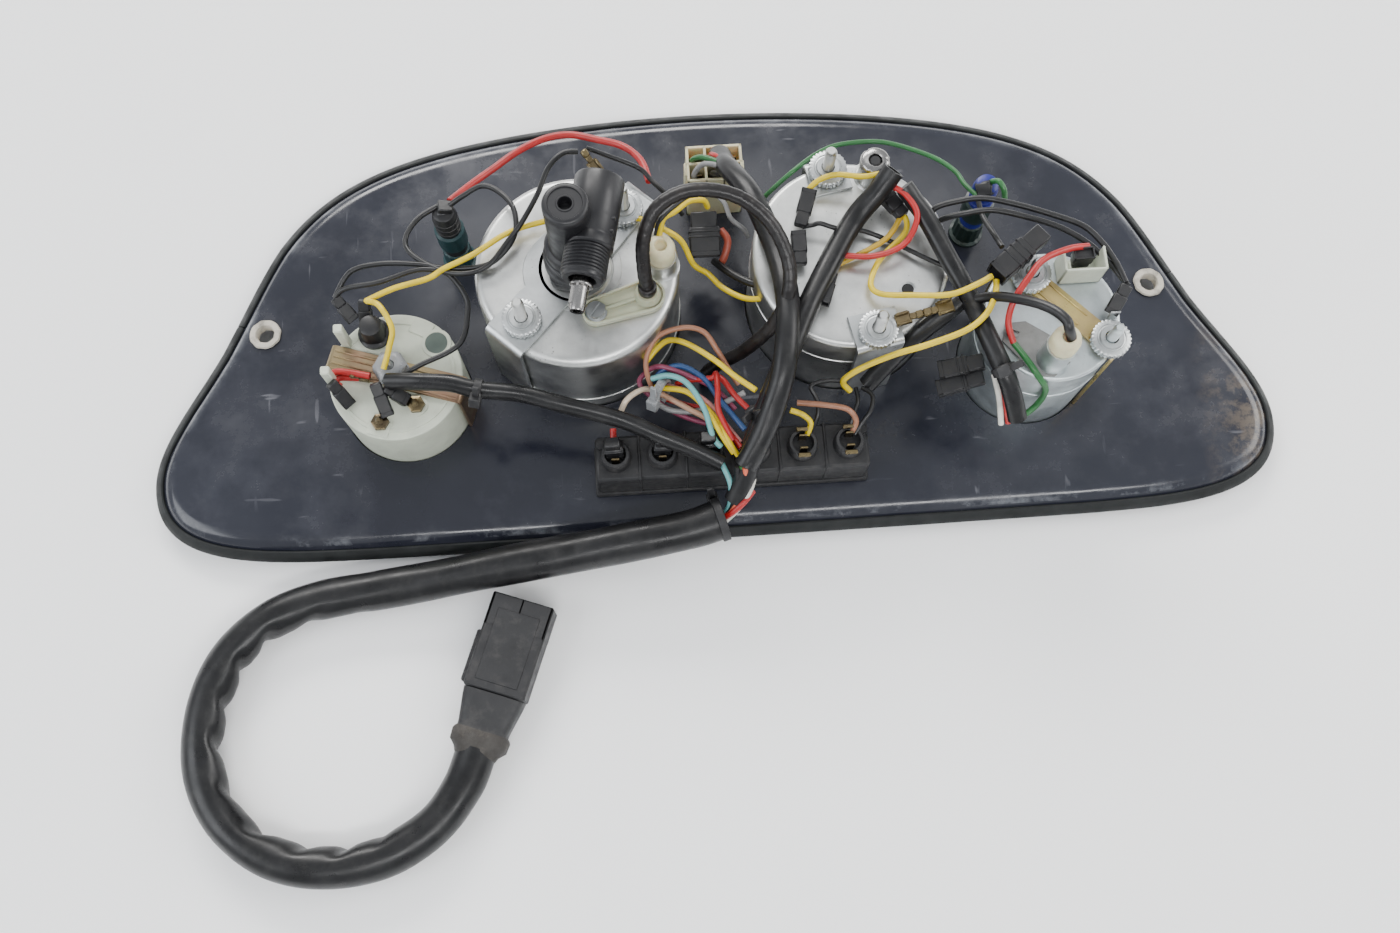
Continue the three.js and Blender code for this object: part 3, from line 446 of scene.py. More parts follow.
SHELL = shell_material()
TRIM = rubbery("trim_rubber", (0.004, 0.005, 0.005), (0.020, 0.025, 0.024), 0.22, 0.55)
GROMMET = moulded("grommet_rubber", (0.42, 0.39, 0.33), (0.07, 0.065, 0.06), 0.8, 0.7, grain=0.5)
ZINC = plated("zinc", (0.72, 0.73, 0.71), 0.36, 0.8)
BLUE_ZINC = plated("blue_zinc", (0.66, 0.72, 0.73), 0.42, 0.25)
DULL_ZINC = plated("dull_zinc", (0.58, 0.60, 0.60), 0.36, 0.6)
GREY_PLATE = plated("grey_plate", (0.30, 0.30, 0.29), 0.55, 0.5)
STEEL = plated("steel", (0.36, 0.35, 0.34), 0.22, 0.3, 2)
GOLD = plated("gold_zinc", (0.72, 0.58, 0.22), 0.30, 0.3, 1.3, (0.50, 0.36, 0.20))
ROSE_GOLD = plated("rose_zinc", (0.38, 0.30, 0.17), 0.36, 0.4, 1.6, (0.34, 0.20, 0.15))
BRASS = plated("terminal_brass", (0.24, 0.19, 0.10), 0.30, 0.6, 2.5, (0.10, 0.075, 0.05))
BEZEL = moulded("bezel_black", (0.010, 0.010, 0.011), (0.05, 0.05, 0.05), 0.35, 0.25)
DRIVE_BLACK = moulded("drive_black", (0.0045, 0.0045, 0.006), (0.022, 0.021, 0.021), 0.40, 0.22,
                      grain=0.08)
BLACK = moulded("black_plastic", (0.004, 0.004, 0.005), (0.028, 0.026, 0.024), 0.42, 0.35)
DUSTY_BLACK = moulded("dusty_black", (0.009, 0.009, 0.010), (0.045, 0.042, 0.040), 0.55, 0.55)
CREAM = moulded("cream_plastic", (0.56, 0.51, 0.33), (0.30, 0.24, 0.15), 0.42, 0.3,
                Subsurface_Weight=0.1)
ARM_NYLON = moulded("arm_nylon", (0.33, 0.32, 0.22), (0.30, 0.27, 0.20), 0.38, 0.25,
                    Subsurface_Weight=0.15)
WHITE = moulded("white_plastic", (0.47, 0.50, 0.41), (0.32, 0.31, 0.26), 0.45, 0.25)
NYLON = moulded("clear_plastic", (0.30, 0.31, 0.32), (0.30, 0.28, 0.25), 0.25, 0.2,
                Transmission_Weight=0.3)
OLD_RUBBER = moulded("old_rubber", (0.028, 0.025, 0.022), (0.080, 0.070, 0.060), 0.75, 0.6,
                     grain=0.5)
SLEEVE = rubbery("sleeve_black", (0.0045, 0.0045, 0.005), (0.050, 0.049, 0.047), 0.28, 0.33)
HOSE = rubbery("hose_brown", (0.007, 0.006, 0.006), (0.040, 0.028, 0.020), 0.35, 0.34)
DIAL = moulded("dial_black", (0.006, 0.006, 0.007), (0.02, 0.02, 0.02), 0.6, 0.1)
PRINT = moulded("dial_print", (0.75, 0.75, 0.70), (0.5, 0.5, 0.45), 0.6, 0.1)
# Dark green for the clock's spare hole: the green of the part inside, with painted shade for the
# hole's depth.
HOLE_GREEN_AND_SHADE = moulded("hole_green_and_shade", (0.075, 0.10, 0.085), (0.05, 0.06, 0.05), 0.6, 0.2)
POINTER = moulded("pointer_orange", (0.75, 0.16, 0.03), (0.5, 0.1, 0.03), 0.5, 0.1)
GLASS = clear("clear_glass", (0.5, 0.53, 0.54), 0.12, 0.05)
LENS = moulded("lens_dark", (0.02, 0.02, 0.022), (0.05, 0.05, 0.05), 0.18, 0.2)
BLUE = moulded("pilot_blue", (0.008, 0.012, 0.16), (0.02, 0.02, 0.05), 0.35, 0.3)
DARK_GREEN = moulded("pilot_green", (0.004, 0.015, 0.012), (0.01, 0.02, 0.02), 0.35, 0.3)
TEAL_BAND = moulded("pilot_teal", (0.004, 0.030, 0.034), (0.01, 0.02, 0.02), 0.35, 0.3)

WIRE_COLOURS = {
    "black": (0.0045, 0.0045, 0.005), "yellow": (0.60, 0.44, 0.004), "red": (0.34, 0.010, 0.010),
    "orange": (0.60, 0.12, 0.06), "brown": (0.26, 0.115, 0.065), "green": (0.015, 0.11, 0.025),
    "blue": (0.015, 0.055, 0.16), "teal": (0.12, 0.34, 0.34), "magenta": (0.20, 0.035, 0.075),
    "tan": (0.40, 0.24, 0.16), "beige": (0.60, 0.48, 0.36), "pink": (0.50, 0.22, 0.20),
    "grey": (0.20, 0.20, 0.20), "white": (0.60, 0.58, 0.52), "rust": (0.30, 0.06, 0.035),
    "ochre": (0.42, 0.27, 0.015),
}
WIRE = {
    name: moulded("wire_" + name, colour, tuple(c * 0.35 + 0.01 for c in colour), 0.38, 0.35,
                  grain=0.05)
    for name, colour in WIRE_COLOURS.items()
}

# ---- tail: the one free cord, with its boot and plug ---------------------------------------
FLOOR_Z = TAIL_R + FLOOR_GAP
TAIL_ROUTE = [
    (-2.2, -96.2, 27), (-14, -99.6, 26.4), (-30, -101.8, 24.6), (-53.5, -104.4, 21.6),
    (-78, -106.6, 18.6), (-103, -109, 14.4), (-126, -111.4, 10.8), (-148, -113.6, 9),
    (-170, -116, FLOOR_Z), (-191, -123, FLOOR_Z), (-207, -137, FLOOR_Z), (-216, -158, FLOOR_Z),
    (-217, -181, FLOOR_Z), (-208, -202, FLOOR_Z), (-191, -216.5, FLOOR_Z),
    (-169, -222.6, FLOOR_Z), (-146, -220.5, FLOOR_Z), (-126, -210, FLOOR_Z),
    (-113.6, -195, FLOOR_Z), (-107.6, -180.6, FLOOR_Z),
]
TAIL_END = (-107.6, -180.6)
TAIL_TURN = math.radians(69.5)


def make_tail():
    per = 14
    path = spline(TAIL_ROUTE, per)
    bent = range(7 * per, 17 * per)
    first, last = bent[0], bent[-1]

    def shape(i, angle):
        """Loose sleeving: folds on the inside of the bend, and a slightly flat, lumpy section."""
        lump = 1 + 0.028 * math.sin(i * 0.17 + 1.3) * math.cos(2 * angle + i * 0.05)
        if not first < i < last:
            return lump
        near = min(i - first, last - i) / 24
        around = angle - math.pi * 0.88
        inner = max(0.0, math.cos(around)) ** 0.9
        phase = i * 0.50 + 1.1 * math.sin(i * 0.085) + 1.5 * around
        fold = (0.5 + 0.5 * math.sin(phase)) ** 2.2
        depth = 0.29 + 0.06 * math.sin(i * 0.23 + 2)
        return lump - min(near, 1) * inner * fold * depth

    bm = bmesh.new()
    sweep(bm, path, TAIL_R, 40, (False, True), shape)
    # The mouth: the sleeve is open, with a wall and a dark hollow behind its wires.
    mouth = frames_along(path)[0]
    run = (path[1] - path[0]).normalized()
    at = place(mouth[0], run)
    ring_lathe(bm, [(TAIL_R - 0.1, 0), (TAIL_R - 1.3, 0.0), (TAIL_R - 1.5, 9), (TAIL_R - 0.6, 9)],
               at, 40)
    disc(bm, at, TAIL_R - 0.8, 8.5, 9, 40)
    sleeve = skin("tail_sleeve", bm, SLEEVE, smooth=60)
    return sleeve, path


def on_tail():
    turn = Matrix.Rotation(TAIL_TURN, 4, "Z")
    return post(TAIL_END[0], TAIL_END[1]) @ turn


def make_boot():
    """A moulded boot: round where it grips the sleeve, growing square towards the plug."""
    bm = bmesh.new()
    at = on_tail()
    rings = []
    stations = [(-3.5, 8.5, 7.9, 1.0), (-1.5, 9.4, 8.1, 0.9), (0.2, 10.9, 8.2, 0.6),
                (1.0, 11.7, 8.2, 0.45), (5.2, 11.9, 8.2, 0.4), (6.2, 11.4, 8.0, 0.35),
                (7.0, 10.5, 7.7, 0.3), (9, 10.6, 7.6, 0.28), (14, 11.5, 7.6, 0.24),
                (19, 12.4, 7.6, 0.2), (22.2, 12.8, 7.7, 0.18)]
    for s, half, tall, square in stations:
        ring = []
        for j in range(36):
            angle = 2 * math.pi * j / 36
            c, t = math.cos(angle), math.sin(angle)
            power = 0.25 + 0.75 * square
            y = half * math.copysign(abs(c) ** power, c)
            z = tall * math.copysign(abs(t) ** power, t)
            ring.append(bm.verts.new((at @ Vector((s, y, 8.2 + z))) * MM))
        rings.append(ring)
    join_rings(bm, rings)
    # The collar is bare old rubber; the sleeve-like neck beyond it is as black as the plug.
    back = at.inverted()
    for face in bm.faces:
        if (back @ (face.calc_center_median() / MM)).x > 6.8:
            face.material_index = 1
    return skin("tail_boot", bm, [OLD_RUBBER, DUSTY_BLACK],
                       smooth=50)


def make_plug():
    bm = bmesh.new()
    at = on_tail()
    block(bm, (22.4, -13, 0.5), (49.5, 13, 16), at, 0.9)
    for lo, hi in (((48, -13, 0.5), (62, -11.4, 16)), ((48, 11.4, 0.5), (62, 13, 16)),
                   ((48, -0.8, 0.5), (62, 0.8, 16)), ((48, -13, 0.5), (62, 13, 2.4)),
                   ((48, -13, 14), (62, 13, 16))):
        block(bm, lo, hi, at, 0.5)
    block(bm, (24, 12.6, 3), (46, 15.6, 9), at, 0.6)
    block(bm, (24, 12.6, 8.6), (28, 14.2, 14), at, 0.5)
    block(bm, (26, -9, 15.6), (56, 9, 16.25), at, 0.25)
    return skin("tail_plug", bm, DUSTY_BLACK)


def make_plug_contacts():
    """Blade contacts standing in the two cavities of the plug."""
    bm = bmesh.new()
    at = on_tail()
    for y in (-8.4, -3.8, 3.8, 8.4):
        for z in (5.2, 11.2):
            block(bm, (49, y - 1.6, z - 0.4), (57, y + 1.6, z + 0.4), at, 0.2)
    return finish_mesh("tail_plug_contacts", bm, BRASS)


def band(bm, centre, along, inner, head_at):
    """A nylon cable tie: its band, its square head and the cut end of its strap."""
    width, thick, loose = 3.6, 1.0, min(10, inner + 4)
    at = place(centre, along, (0, 0, 1)) @ Matrix.Rotation(head_at, 4, "Z")
    ring_lathe(bm, [(inner, -width / 2), (inner + thick, -width / 2 + 0.3),
                    (inner + thick, width / 2 - 0.3), (inner, width / 2)], at, 40)
    block(bm, (inner, -2.6, -width / 2 - 0.5), (inner + 4.2, 2.6, width / 2 + 0.5), at, 0.4)
    block(bm, (inner + 0.8, -loose, -width / 2 + 0.4), (inner + 2.2, -2, width / 2 - 0.4), at, 0.3)


tail, tail_path = make_tail()
boot = make_boot()
plug = make_plug()
contacts = make_plug_contacts()


# ---- panel shell, trim and grommets ----------------------------------------------------------
def bezier(a, b, c, d, steps):
    out = []
    for i in range(steps):
        t = i / steps
        u = 1 - t
        out.append(tuple(u ** 3 * p + 3 * u ** 2 * t * q + 3 * u * t * t * r + t ** 3 * s
                         for p, q, r, s in zip(a, b, c, d)))
    return out


TRIM_JOINT = (208.0, 8.5)


def half_outline(steps=26):
    """Right half of the panel, from the bottom middle to the top middle."""
    out = [(150 * i / 10, -100 + 0.4 * (i / 10) ** 2) for i in range(10)]
    out += bezier((150, -99.6), (196, -98.8), (241, -99), (241, -62), steps)
    out += bezier((241, -62), (241, -44), (226, -26), (214, -4), steps)
    out += [(214 + (TRIM_JOINT[0] - 214) * i / 4, -4 + 12.5 * i / 4) for i in range(4)]
    out += bezier(TRIM_JOINT, (203, 19), (197, 33), (190, 44), steps // 2)
    out += bezier((190, 44), (174, 67), (152, 82), (105, 91), steps)
    out += bezier((105, 91), (74, 97), (36, 100), (0, 100), steps)
    return out + [(0, 100)]


HALF = half_outline()
OUTLINE = HALF + [(-x, y) for x, y in reversed(HALF[1:-1])]
INWARD = []
for index in range(len(OUTLINE)):
    before, after = OUTLINE[index - 1], OUTLINE[(index + 1) % len(OUTLINE)]
    along = Vector((after[0] - before[0], after[1] - before[1])).normalized()
    INWARD.append((-along.y, along.x))


def inset(i, distance, z):
    (x, y), (nx, ny) = OUTLINE[i % len(OUTLINE)], INWARD[i % len(OUTLINE)]
    return Vector((x + nx * distance, y + ny * distance, z)) * MM


def circle(x, y, r, steps=72):
    return [(x + r * math.cos(2 * math.pi * k / steps), y + r * math.sin(2 * math.pi * k / steps))
            for k in range(steps)]


def panel_holes():
    holes = [circle(g["x"], g["y"], g["r"] + 0.6) for g in (SPEEDO, TACHO, CLOCK, VOLT)]
    holes += [circle(x, y, 5.2, 40) for _, x, y in MOUNTS]
    holes += [circle(x, y, 5.4, 40) for _, x, y in PILOTS]
    holes.append(circle(*KNOB, 2.6, 24))
    half = (SWITCH["width"] / 2 + 0.3, SWITCH["height"] / 2 + 0.3)
    holes.append([(SWITCH["x"] + sx * half[0], SWITCH["y"] + sy * half[1])
                  for sx, sy in ((-1, -1), (1, -1), (1, 1), (-1, 1))])
    return holes


def make_panel():
    bm = bmesh.new()
    outer = [(11.4, PANEL_BACK), (9.4, PANEL_BACK - 0.25), (7.6, PANEL_BACK - 1.0),
             (6.1, PANEL_BACK - 2.1), (4.9, PANEL_BACK - 3.6), (3.6, PANEL_BACK - 5.2),
             (LIP_INSET, LIP_Z)]
    inner = [(LIP_INSET + 1.7, LIP_Z - 1.7), (LIP_INSET + 4.5, LIP_Z + 1.1),
             (7.8, PANEL_FRONT - 1.2), (9.6, PANEL_FRONT - 0.4), (12.2, PANEL_FRONT)]
    rings = []
    for distance, z in outer + inner:
        rings.append([bm.verts.new(inset(i, distance, z)) for i in range(len(OUTLINE))])
    join_rings(bm, rings, ends=NO_ENDS)
    holes = panel_holes()
    walls = []
    for z, rim in ((PANEL_BACK, rings[0]), (PANEL_FRONT, rings[-1])):
        edges = []
        loops = [[bm.verts.new(Vector((x, y, z)) * MM) for x, y in hole] for hole in holes]
        for loop in [rim] + loops:
            for a, b in zip(loop, loop[1:] + loop[:1]):
                edges.append(bm.edges.get((a, b)) or bm.edges.new((a, b)))
        bmesh.ops.triangle_fill(bm, use_beauty=True, use_dissolve=False, edges=edges)
        walls.append(loops)
    for upper, lower in zip(*walls):
        join_rings(bm, [upper, lower], ends=NO_ENDS)
    return skin("panel_shell", bm, SHELL, smooth=34)


def trim_section():
    """Round-backed rubber channel over the rim, which points down and out at 45 degrees."""
    half = math.sqrt(0.5)
    channel = [(-4.1, 0.3), (-4.2, 1.0), (-3.8, 1.5), (-2, 1.75), (0.2, 1.75), (1.1, 1.3),
               (1.5, 0.5), (1.6, -1.2), (1.5, -2.8), (1.0, -3.6), (0.2, -3.95), (-2, -3.95),
               (-3.4, -3.8), (-3.7, -3.2), (-3.6, -2.7), (0.3, -2.7), (0.3, 0.3)]
    return [(LIP_INSET - half * (a + o), LIP_Z - half * a + half * o) for a, o in channel]


def make_trim(name, first, last):
    bm = bmesh.new()
    section = trim_section()
    rings = []
    for i in range(first, last + 1):
        rings.append([bm.verts.new(inset(i, d, z)) for d, z in section])
    for end, inner in ((0, 1), (-1, -2)):
        for v, w in zip(rings[end], rings[inner]):
            v.co = v.co + (w.co - v.co).normalized() * 0.25 * MM
    join_rings(bm, rings)
    return skin(name, bm, TRIM, smooth=42)


def make_grommet(side, x, y):
    def worn(z, angle):
        chips = 0.03 * math.sin(3 * angle + x) * math.sin(5 * angle)
        return 1 + chips + 0.012 * math.sin(11 * angle)

    bm = bmesh.new()
    ring_lathe(bm, [(3.75, 9.2), (4.2, 8.9), (5.8, 8.9), (6.2, 9.3), (6.1, 9.6), (4.9, 9.7),
                    (4.9, 13.3), (6.5, 13.3), (6.7, 13.8), (6.3, 14.5), (5.0, 14.75), (4.1, 14.4),
                    (3.7, 13.6)],
               post(x, y), 48, worn)
    name = "mount_grommet_" + side
    return skin(name, bm, GROMMET)


make_panel()
joint = min(range(len(HALF)), key=lambda i: math.dist(HALF[i], TRIM_JOINT))
make_trim("edge_trim_upper", joint, len(OUTLINE) - joint)
make_trim("edge_trim_lower", len(OUTLINE) - joint, len(OUTLINE) + joint)
for side, x, y in MOUNTS:
    make_grommet(side, x, y)


# ---- pieces that the four instruments share --------------------------------------------------
def can_profile(g):
    r, back, soft = g["r"], g["back"], g["round"]
    profile = [(0, back), (r - soft - 2, back)]
    profile += arc(soft, r - soft, back - soft, 90, 0, 8)
    profile += [(r, CAN_FRONT + 6), (r, CAN_FRONT), (r - CAN_WALL, CAN_FRONT)]
    profile += [(r - CAN_WALL, back - soft - 0.6), (r - CAN_WALL - soft, back - CAN_WALL),
                (0, back - CAN_WALL)]
    return profile


def stud(bm, x, y, z0, z1, r=2.4, pitch=0.8, plain=2.0):
    """A threaded stud with a plain, rounded tip."""
    profile = [(0, z0), (r, z0)]
    z = z0 + 0.4
    while z < z1 - plain:
        profile += [(r - 0.28, z), (r, z + pitch / 2)]
        z += pitch
    profile += [(r - 0.45, z + 0.2), (r - 0.45, z1 - 0.6), (r - 0.9, z1), (0, z1)]
    lathe(bm, profile, post(x, y), 28)


def make_bezel(name, g, over):
    bm = bmesh.new()
    r = g["r"]
    ring_lathe(bm, [(r - 3.2, 0.6), (r - 2.8, 0.15), (r - 2.2, 0), (r + over - 1.6, 0),
                    (r + over - 0.8, 0.25), (r + over - 0.2, 0.8), (r + over, 1.6), (r + over, 8.9),
                    (r + over - 0.5, 9.7), (r + 0.3, 9.7), (r + 0.3, 1.5), (r - 3.2, 1.5)],
               at_gauge(g), 112)
    return skin(name, bm, BEZEL)


def make_glass(name, g):
    bm = bmesh.new()
    r = g["r"] - 0.3
    lathe(bm, [(0, 1.8), (r - 0.3, 1.8), (r, 2.1), (r, 3.2), (r - 0.3, 3.5), (0, 3.5)],
          at_gauge(g), 96)
    return skin(name, bm, GLASS)


def make_dial(name, g, window):
    bm = bmesh.new()
    r = g["r"] - 1.5
    if window:
        half, y0, y1 = window
        outer = [bm.verts.new(Vector((g["x"] + x, g["y"] + y, DIAL_Z)) * MM) for x,
                 y in circle(0, 0, r, 96)]
        hole = [bm.verts.new(Vector((g["x"] + x, g["y"] + y, DIAL_Z)) * MM)
                for x, y in ((-half, y0), (half, y0), (half, y1), (-half, y1))]
        edges = [bm.edges.new((a, b)) for loop in (outer, hole) for a,
                 b in zip(loop, loop[1:] + loop[:1])]
        bmesh.ops.triangle_fill(bm, use_beauty=True, edges=edges)
        made = bmesh.ops.extrude_face_region(bm, geom=bm.faces[:])
        for v in [e for e in made["geom"] if isinstance(e, bmesh.types.BMVert)]:
            v.co.z += 0.8 * MM
    else:
        ring_lathe(bm, [(1.8, DIAL_Z), (r, DIAL_Z), (r, DIAL_Z + 0.8), (1.8, DIAL_Z + 0.8)],
                   at_gauge(g), 96)
    return skin(name, bm, DIAL)


def make_front(name, g, over, window=None):
    make_bezel(name + "_bezel", g, over)
    make_glass(name + "_glass", g)
    make_dial(name + "_dial", g, window)


def face_frame(g, angle):
    """On the dial, seen from the front: X to the viewer's right, turned clockwise by angle."""
    flip = Matrix(((-1, 0, 0, 0), (0, 1, 0, 0), (0, 0, -1, 0), (0, 0, 0, 1)))
    return Matrix.Translation((g["x"], g["y"], DIAL_Z)) @ flip @ Matrix.Rotation(-angle, 4, "Z")


def make_scale(name, g, start, sweep_angle, majors, minors, labels, size, reach=0.86):
    """Printed ticks and plain numbers round a dial."""
    bm = bmesh.new()
    r = (g["r"] - 1.5) * reach
    total = majors * minors
    for k in range(total + 1):
        at = face_frame(g, start + sweep_angle * k / total)
        big = k % minors == 0
        long, wide = (0.15, 0.55) if big else (0.08, 0.28)
        block(bm, (-wide, r * (1 - long), 0.02), (wide, r, 0.10), at, 0.01)
    finish_mesh(name, bm, PRINT)
    for k, label in enumerate(labels):
        if not label:
            continue
        angle = start + sweep_angle * k / (len(labels) - 1)
        curve = bpy.data.curves.new(name + "_number", "FONT")
        curve.body = label
        curve.size = size * MM
        curve.align_x = "CENTER"
        curve.align_y = "CENTER"
        curve.extrude = 0.04 * MM
        temporary = bpy.data.objects.new("number", curve)
        data = bpy.data.meshes.new_from_object(temporary)
        bpy.data.objects.remove(temporary)
        spot = face_frame(g, angle) @ Vector((0, r * 0.70, 0.06))
        turn = face_frame(g, 0).to_3x3().to_4x4()
        data.transform(Matrix.Translation(spot * MM) @ turn)
        data.materials.append(PRINT)
        number = show(f"{name}_{label}", data)
        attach(number, ROOT)


def make_pointer(name, body, g, length, tail_length, width, hub, z, angle, material=POINTER):
    """A tapered flat blade on a domed hub, and a spindle through the dial."""
    bm = bmesh.new()
    at = at_gauge(g, angle)
    prism(bm, [(-tail_length, -width * 0.8), (length * 0.85, -width / 2.4), (length, 0),
               (length * 0.85, width / 2.4), (-tail_length, width * 0.8)], z + 0.9, z + 1.7, at)
    lathe(bm, [(0, z), (hub - 1.2, z + 0.05), (hub - 0.4, z + 0.35), (hub, z + 0.9), (hub, z + 2.4),
               (0, z + 2.4)],
          at, 48)
    disc(bm, at, 1.2, z + 2.2, 15, 16)
    return skin(name, bm, material, body)


def knurled_nut(name, x, y, z):
    bm = bmesh.new()
    teeth = knurl(28, 0.055, z + 0.4, z + 3.7, 0.8)
    ring_lathe(bm, [(2.75, z), (6.9, z), (7.1, z + 0.3), (7.9, z + 0.5), (7.9, z + 3.5),
                    (7.1, z + 3.8), (5.8, z + 4.0), (5.4, z + 3.7), (5.0, z + 3.8), (4.6, z + 4.6),
                    (2.75, z + 4.6)],
               post(x, y), 192, teeth)
    return skin(name, bm, DULL_ZINC, smooth=24)


def metal_socket(bm, x, y, z0, z1):
    """A pressed lamp socket: a flared foot, a plain wall and a rolled rim."""
    r = 5.9
    ring_lathe(bm, [(r - 0.8, z0 - 0.5), (r + 1.6, z0 - 0.2), (r + 0.5, z0 + 0.6), (r, z0 + 1.6),
                    (r, z1 - 1.2), (r + 0.25, z1 - 0.7), (r + 0.2, z1), (r - 0.8, z1)], post(x, y),
               48)


def lamp_holder(name, x, y, z, head, hole):
    """A moulded lamp holder pushed into its socket, with its wire's hole at the top."""
    bm = bmesh.new()
    r = 5.7
    lathe(bm, [(0, z - 5), (4.7, z - 5), (4.7, z + 0.3), (r - 0.2, z + 0.3), (r, z + 0.8),
               (r, z + head - 3), (r - 0.5, z + head - 1.4), (r - 1.6, z + head - 0.4),
               (r - 2.8, z + head), (hole + 0.3, z + head), (hole, z + head - 0.4),
               (hole, z + head - 2.5), (0, z + head - 2.5)],
          post(x, y), 48)
    return skin(name, bm, CREAM)


def slotted_head(bm, at, r, height):
    """A cheese-head screw: a washer, and two half discs with the slot between them."""
    disc(bm, at, r + 0.9, 0, 0.5, 40)
    disc(bm, at, r, 0.4, height - 1.0, 40)
    half = 0.55
    for sign in (-1, 1):
        start = math.asin(half / r)
        outline = []
        for k in range(17):
            angle = start + (math.pi - 2 * start) * k / 16
            outline.append((r * math.cos(angle), sign * r * math.sin(angle)))
        prism(bm, outline, height - 1.1, height, at)


def blade_terminal(bm, start, end, width):
    """A crimped receptacle on a blade: a flat box with rolled sides, a neck and a crimp."""
    run = Vector(end) - Vector(start)
    at = place(start, run, Vector((0, 0, 1)).cross(run))
    long = run.length
    block(bm, (-width / 2, -0.5, 0), (width / 2, 0.5, long * 0.55), at, 0.2)
    for sign in (-1, 1):
        block(bm, (sign * (width / 2 - 0.6) - 0.6, -0.4, 0.5),
              (sign * (width / 2 - 0.6) + 0.6, 1.5, long * 0.5), at, 0.3)
    block(bm, (-width / 4, -0.6, long * 0.5), (width / 4, 0.8, long * 0.75), at, 0.3)
    block(bm, (-width / 3.4, -0.9, long * 0.72), (width / 3.4, 1.2, long), at, 0.5)


def rubber_shoe(bm, start, end, width, height, up=(0, 0, 1), ribs=0):
    """A moulded insulating boot or connector body, with a step, ribs and a hollow mouth."""
    run = Vector(end) - Vector(start)
    at = place(start, run, Vector(up).cross(run))
    long = run.length
    w, h = width / 2, height / 2
    block(bm, (-w * 0.86, -h * 0.86, 0), (w * 0.86, h * 0.86, long * 0.38), at, 0.5)
    block(bm, (-w, -h, long * 0.34), (w, h, long - 1.4), at, 0.6)
    for lo, hi in (((-w, -h, long - 2), (w, -h + 0.7, long)),
                   ((-w, h - 0.7, long - 2), (w, h, long)),
                   ((-w, -h, long - 2), (-w + 0.7, h, long)),
                   ((w - 0.7, -h, long - 2), (w, h, long))):
        block(bm, lo, hi, at, 0.2)
    for k in range(ribs):
        z = long * (0.42 + 0.12 * k)
        block(bm, (-w - 0.3, -h - 0.3, z), (w + 0.3, h + 0.3, z + 0.8), at, 0.2)


def wire(name, colour, radius, points):
    """Insulated wire along listed points, with the slow waviness of a reused harness."""
    bm = bmesh.new()
    sweep(bm, spline(points, 8), radius)
    return finish_mesh(name, bm, WIRE[colour], smooth=60)


def sleeve(name, radius, points, flat, open_end=True, replaces=(), sides=28):
    """Loose sleeving: slightly flattened and creased, with an open mouth if asked."""
    path = spline(points, 10)

    def shape(i, angle):
        pressed = flat * math.cos(2 * angle + 0.7)
        return 1 + pressed + 0.022 * math.sin(i * 0.37) * math.cos(3 * angle + i * 0.09)

    bm = bmesh.new()
    sweep(bm, path, radius, sides, (True, not open_end), shape)
    if open_end:
        at = place(path[-1], path[-2] - path[-1])
        ring_lathe(bm, [(radius * 0.98, 0), (radius - 1.1, 0), (radius - 1.2, 5),
                        (radius * 0.9, 5)], at, sides)
        disc(bm, at, radius * 0.88, 4.6, 5, sides)
    return finish_mesh(name, bm, SLEEVE, replaces=replaces, smooth=60)


def curve_to(a, b, c, steps=6):
    """Points of a quadratic curve from a to c, without a itself."""
    return [tuple((1 - t) ** 2 * p + 2 * (1 - t) * t * q + t * t * r for p, q, r in zip(a, b, c))
            for t in [k / steps for k in range(1, steps + 1)]]


def soft_prism(bm, outline, z0, z1, soft, at=None):
    """A prism whose top and bottom edges are drawn in a little."""
    at = at or Matrix()
    count = len(outline)
    drawn = []
    for i in range(count):
        a, b, c = (Vector(outline[j % count]) for j in (i - 1, i, i + 1))
        one = (b - a).normalized() if (b - a).length > 1e-6 else (c - b).normalized()
        two = (c - b).normalized() if (c - b).length > 1e-6 else one
        normal = Vector((-one.y - two.y, one.x + two.x))
        if normal.length < 0.2:
            normal = Vector((-one.y, one.x))
        drawn.append(b + normal.normalized() * soft)
    area = sum(a[0] * b[1] - b[0] * a[1] for a, b in zip(outline, outline[1:] + outline[:1]))
    if area < 0:
        drawn = [2 * Vector(o) - d for o, d in zip(outline, drawn)]
    rings = []
    for z, ring in ((z0, drawn), (z0 + soft, outline), (z1 - soft, outline), (z1, drawn)):
        rings.append([bm.verts.new((at @ Vector((q[0], q[1], z))) * MM) for q in ring])
    join_rings(bm, rings)


def side_strap(bm, path, n0, n1, thickness, at):
    """A strap whose path is its middle line."""
    half = thickness / 2
    rings = []
    for i, (u, z) in enumerate(path):
        a, b = path[max(i - 1, 0)], path[min(i + 1, len(path) - 1)]
        run = Vector((b[0] - a[0], b[1] - a[1])).normalized()
        out = Vector((-run.y, run.x)) * half
        section = [(u - out.x, n0 + 0.35, z - out.y), (u, n0, z), (u + out.x, n0 + 0.35, z + out.y),
                   (u + out.x, n1 - 0.35, z + out.y), (u, n1, z), (u - out.x, n1 - 0.35, z - out.y)]
        rings.append([bm.verts.new((at @ Vector(q)) * MM) for q in section])
    join_rings(bm, rings)


# ---- speedometer -----------------------------------------------------------------------------
SPEEDO_TURN = math.radians(46.7)
SPEEDO_STUDS = [("lower", -77.6, -20.5), ("upper", -35.1, 24.65)]


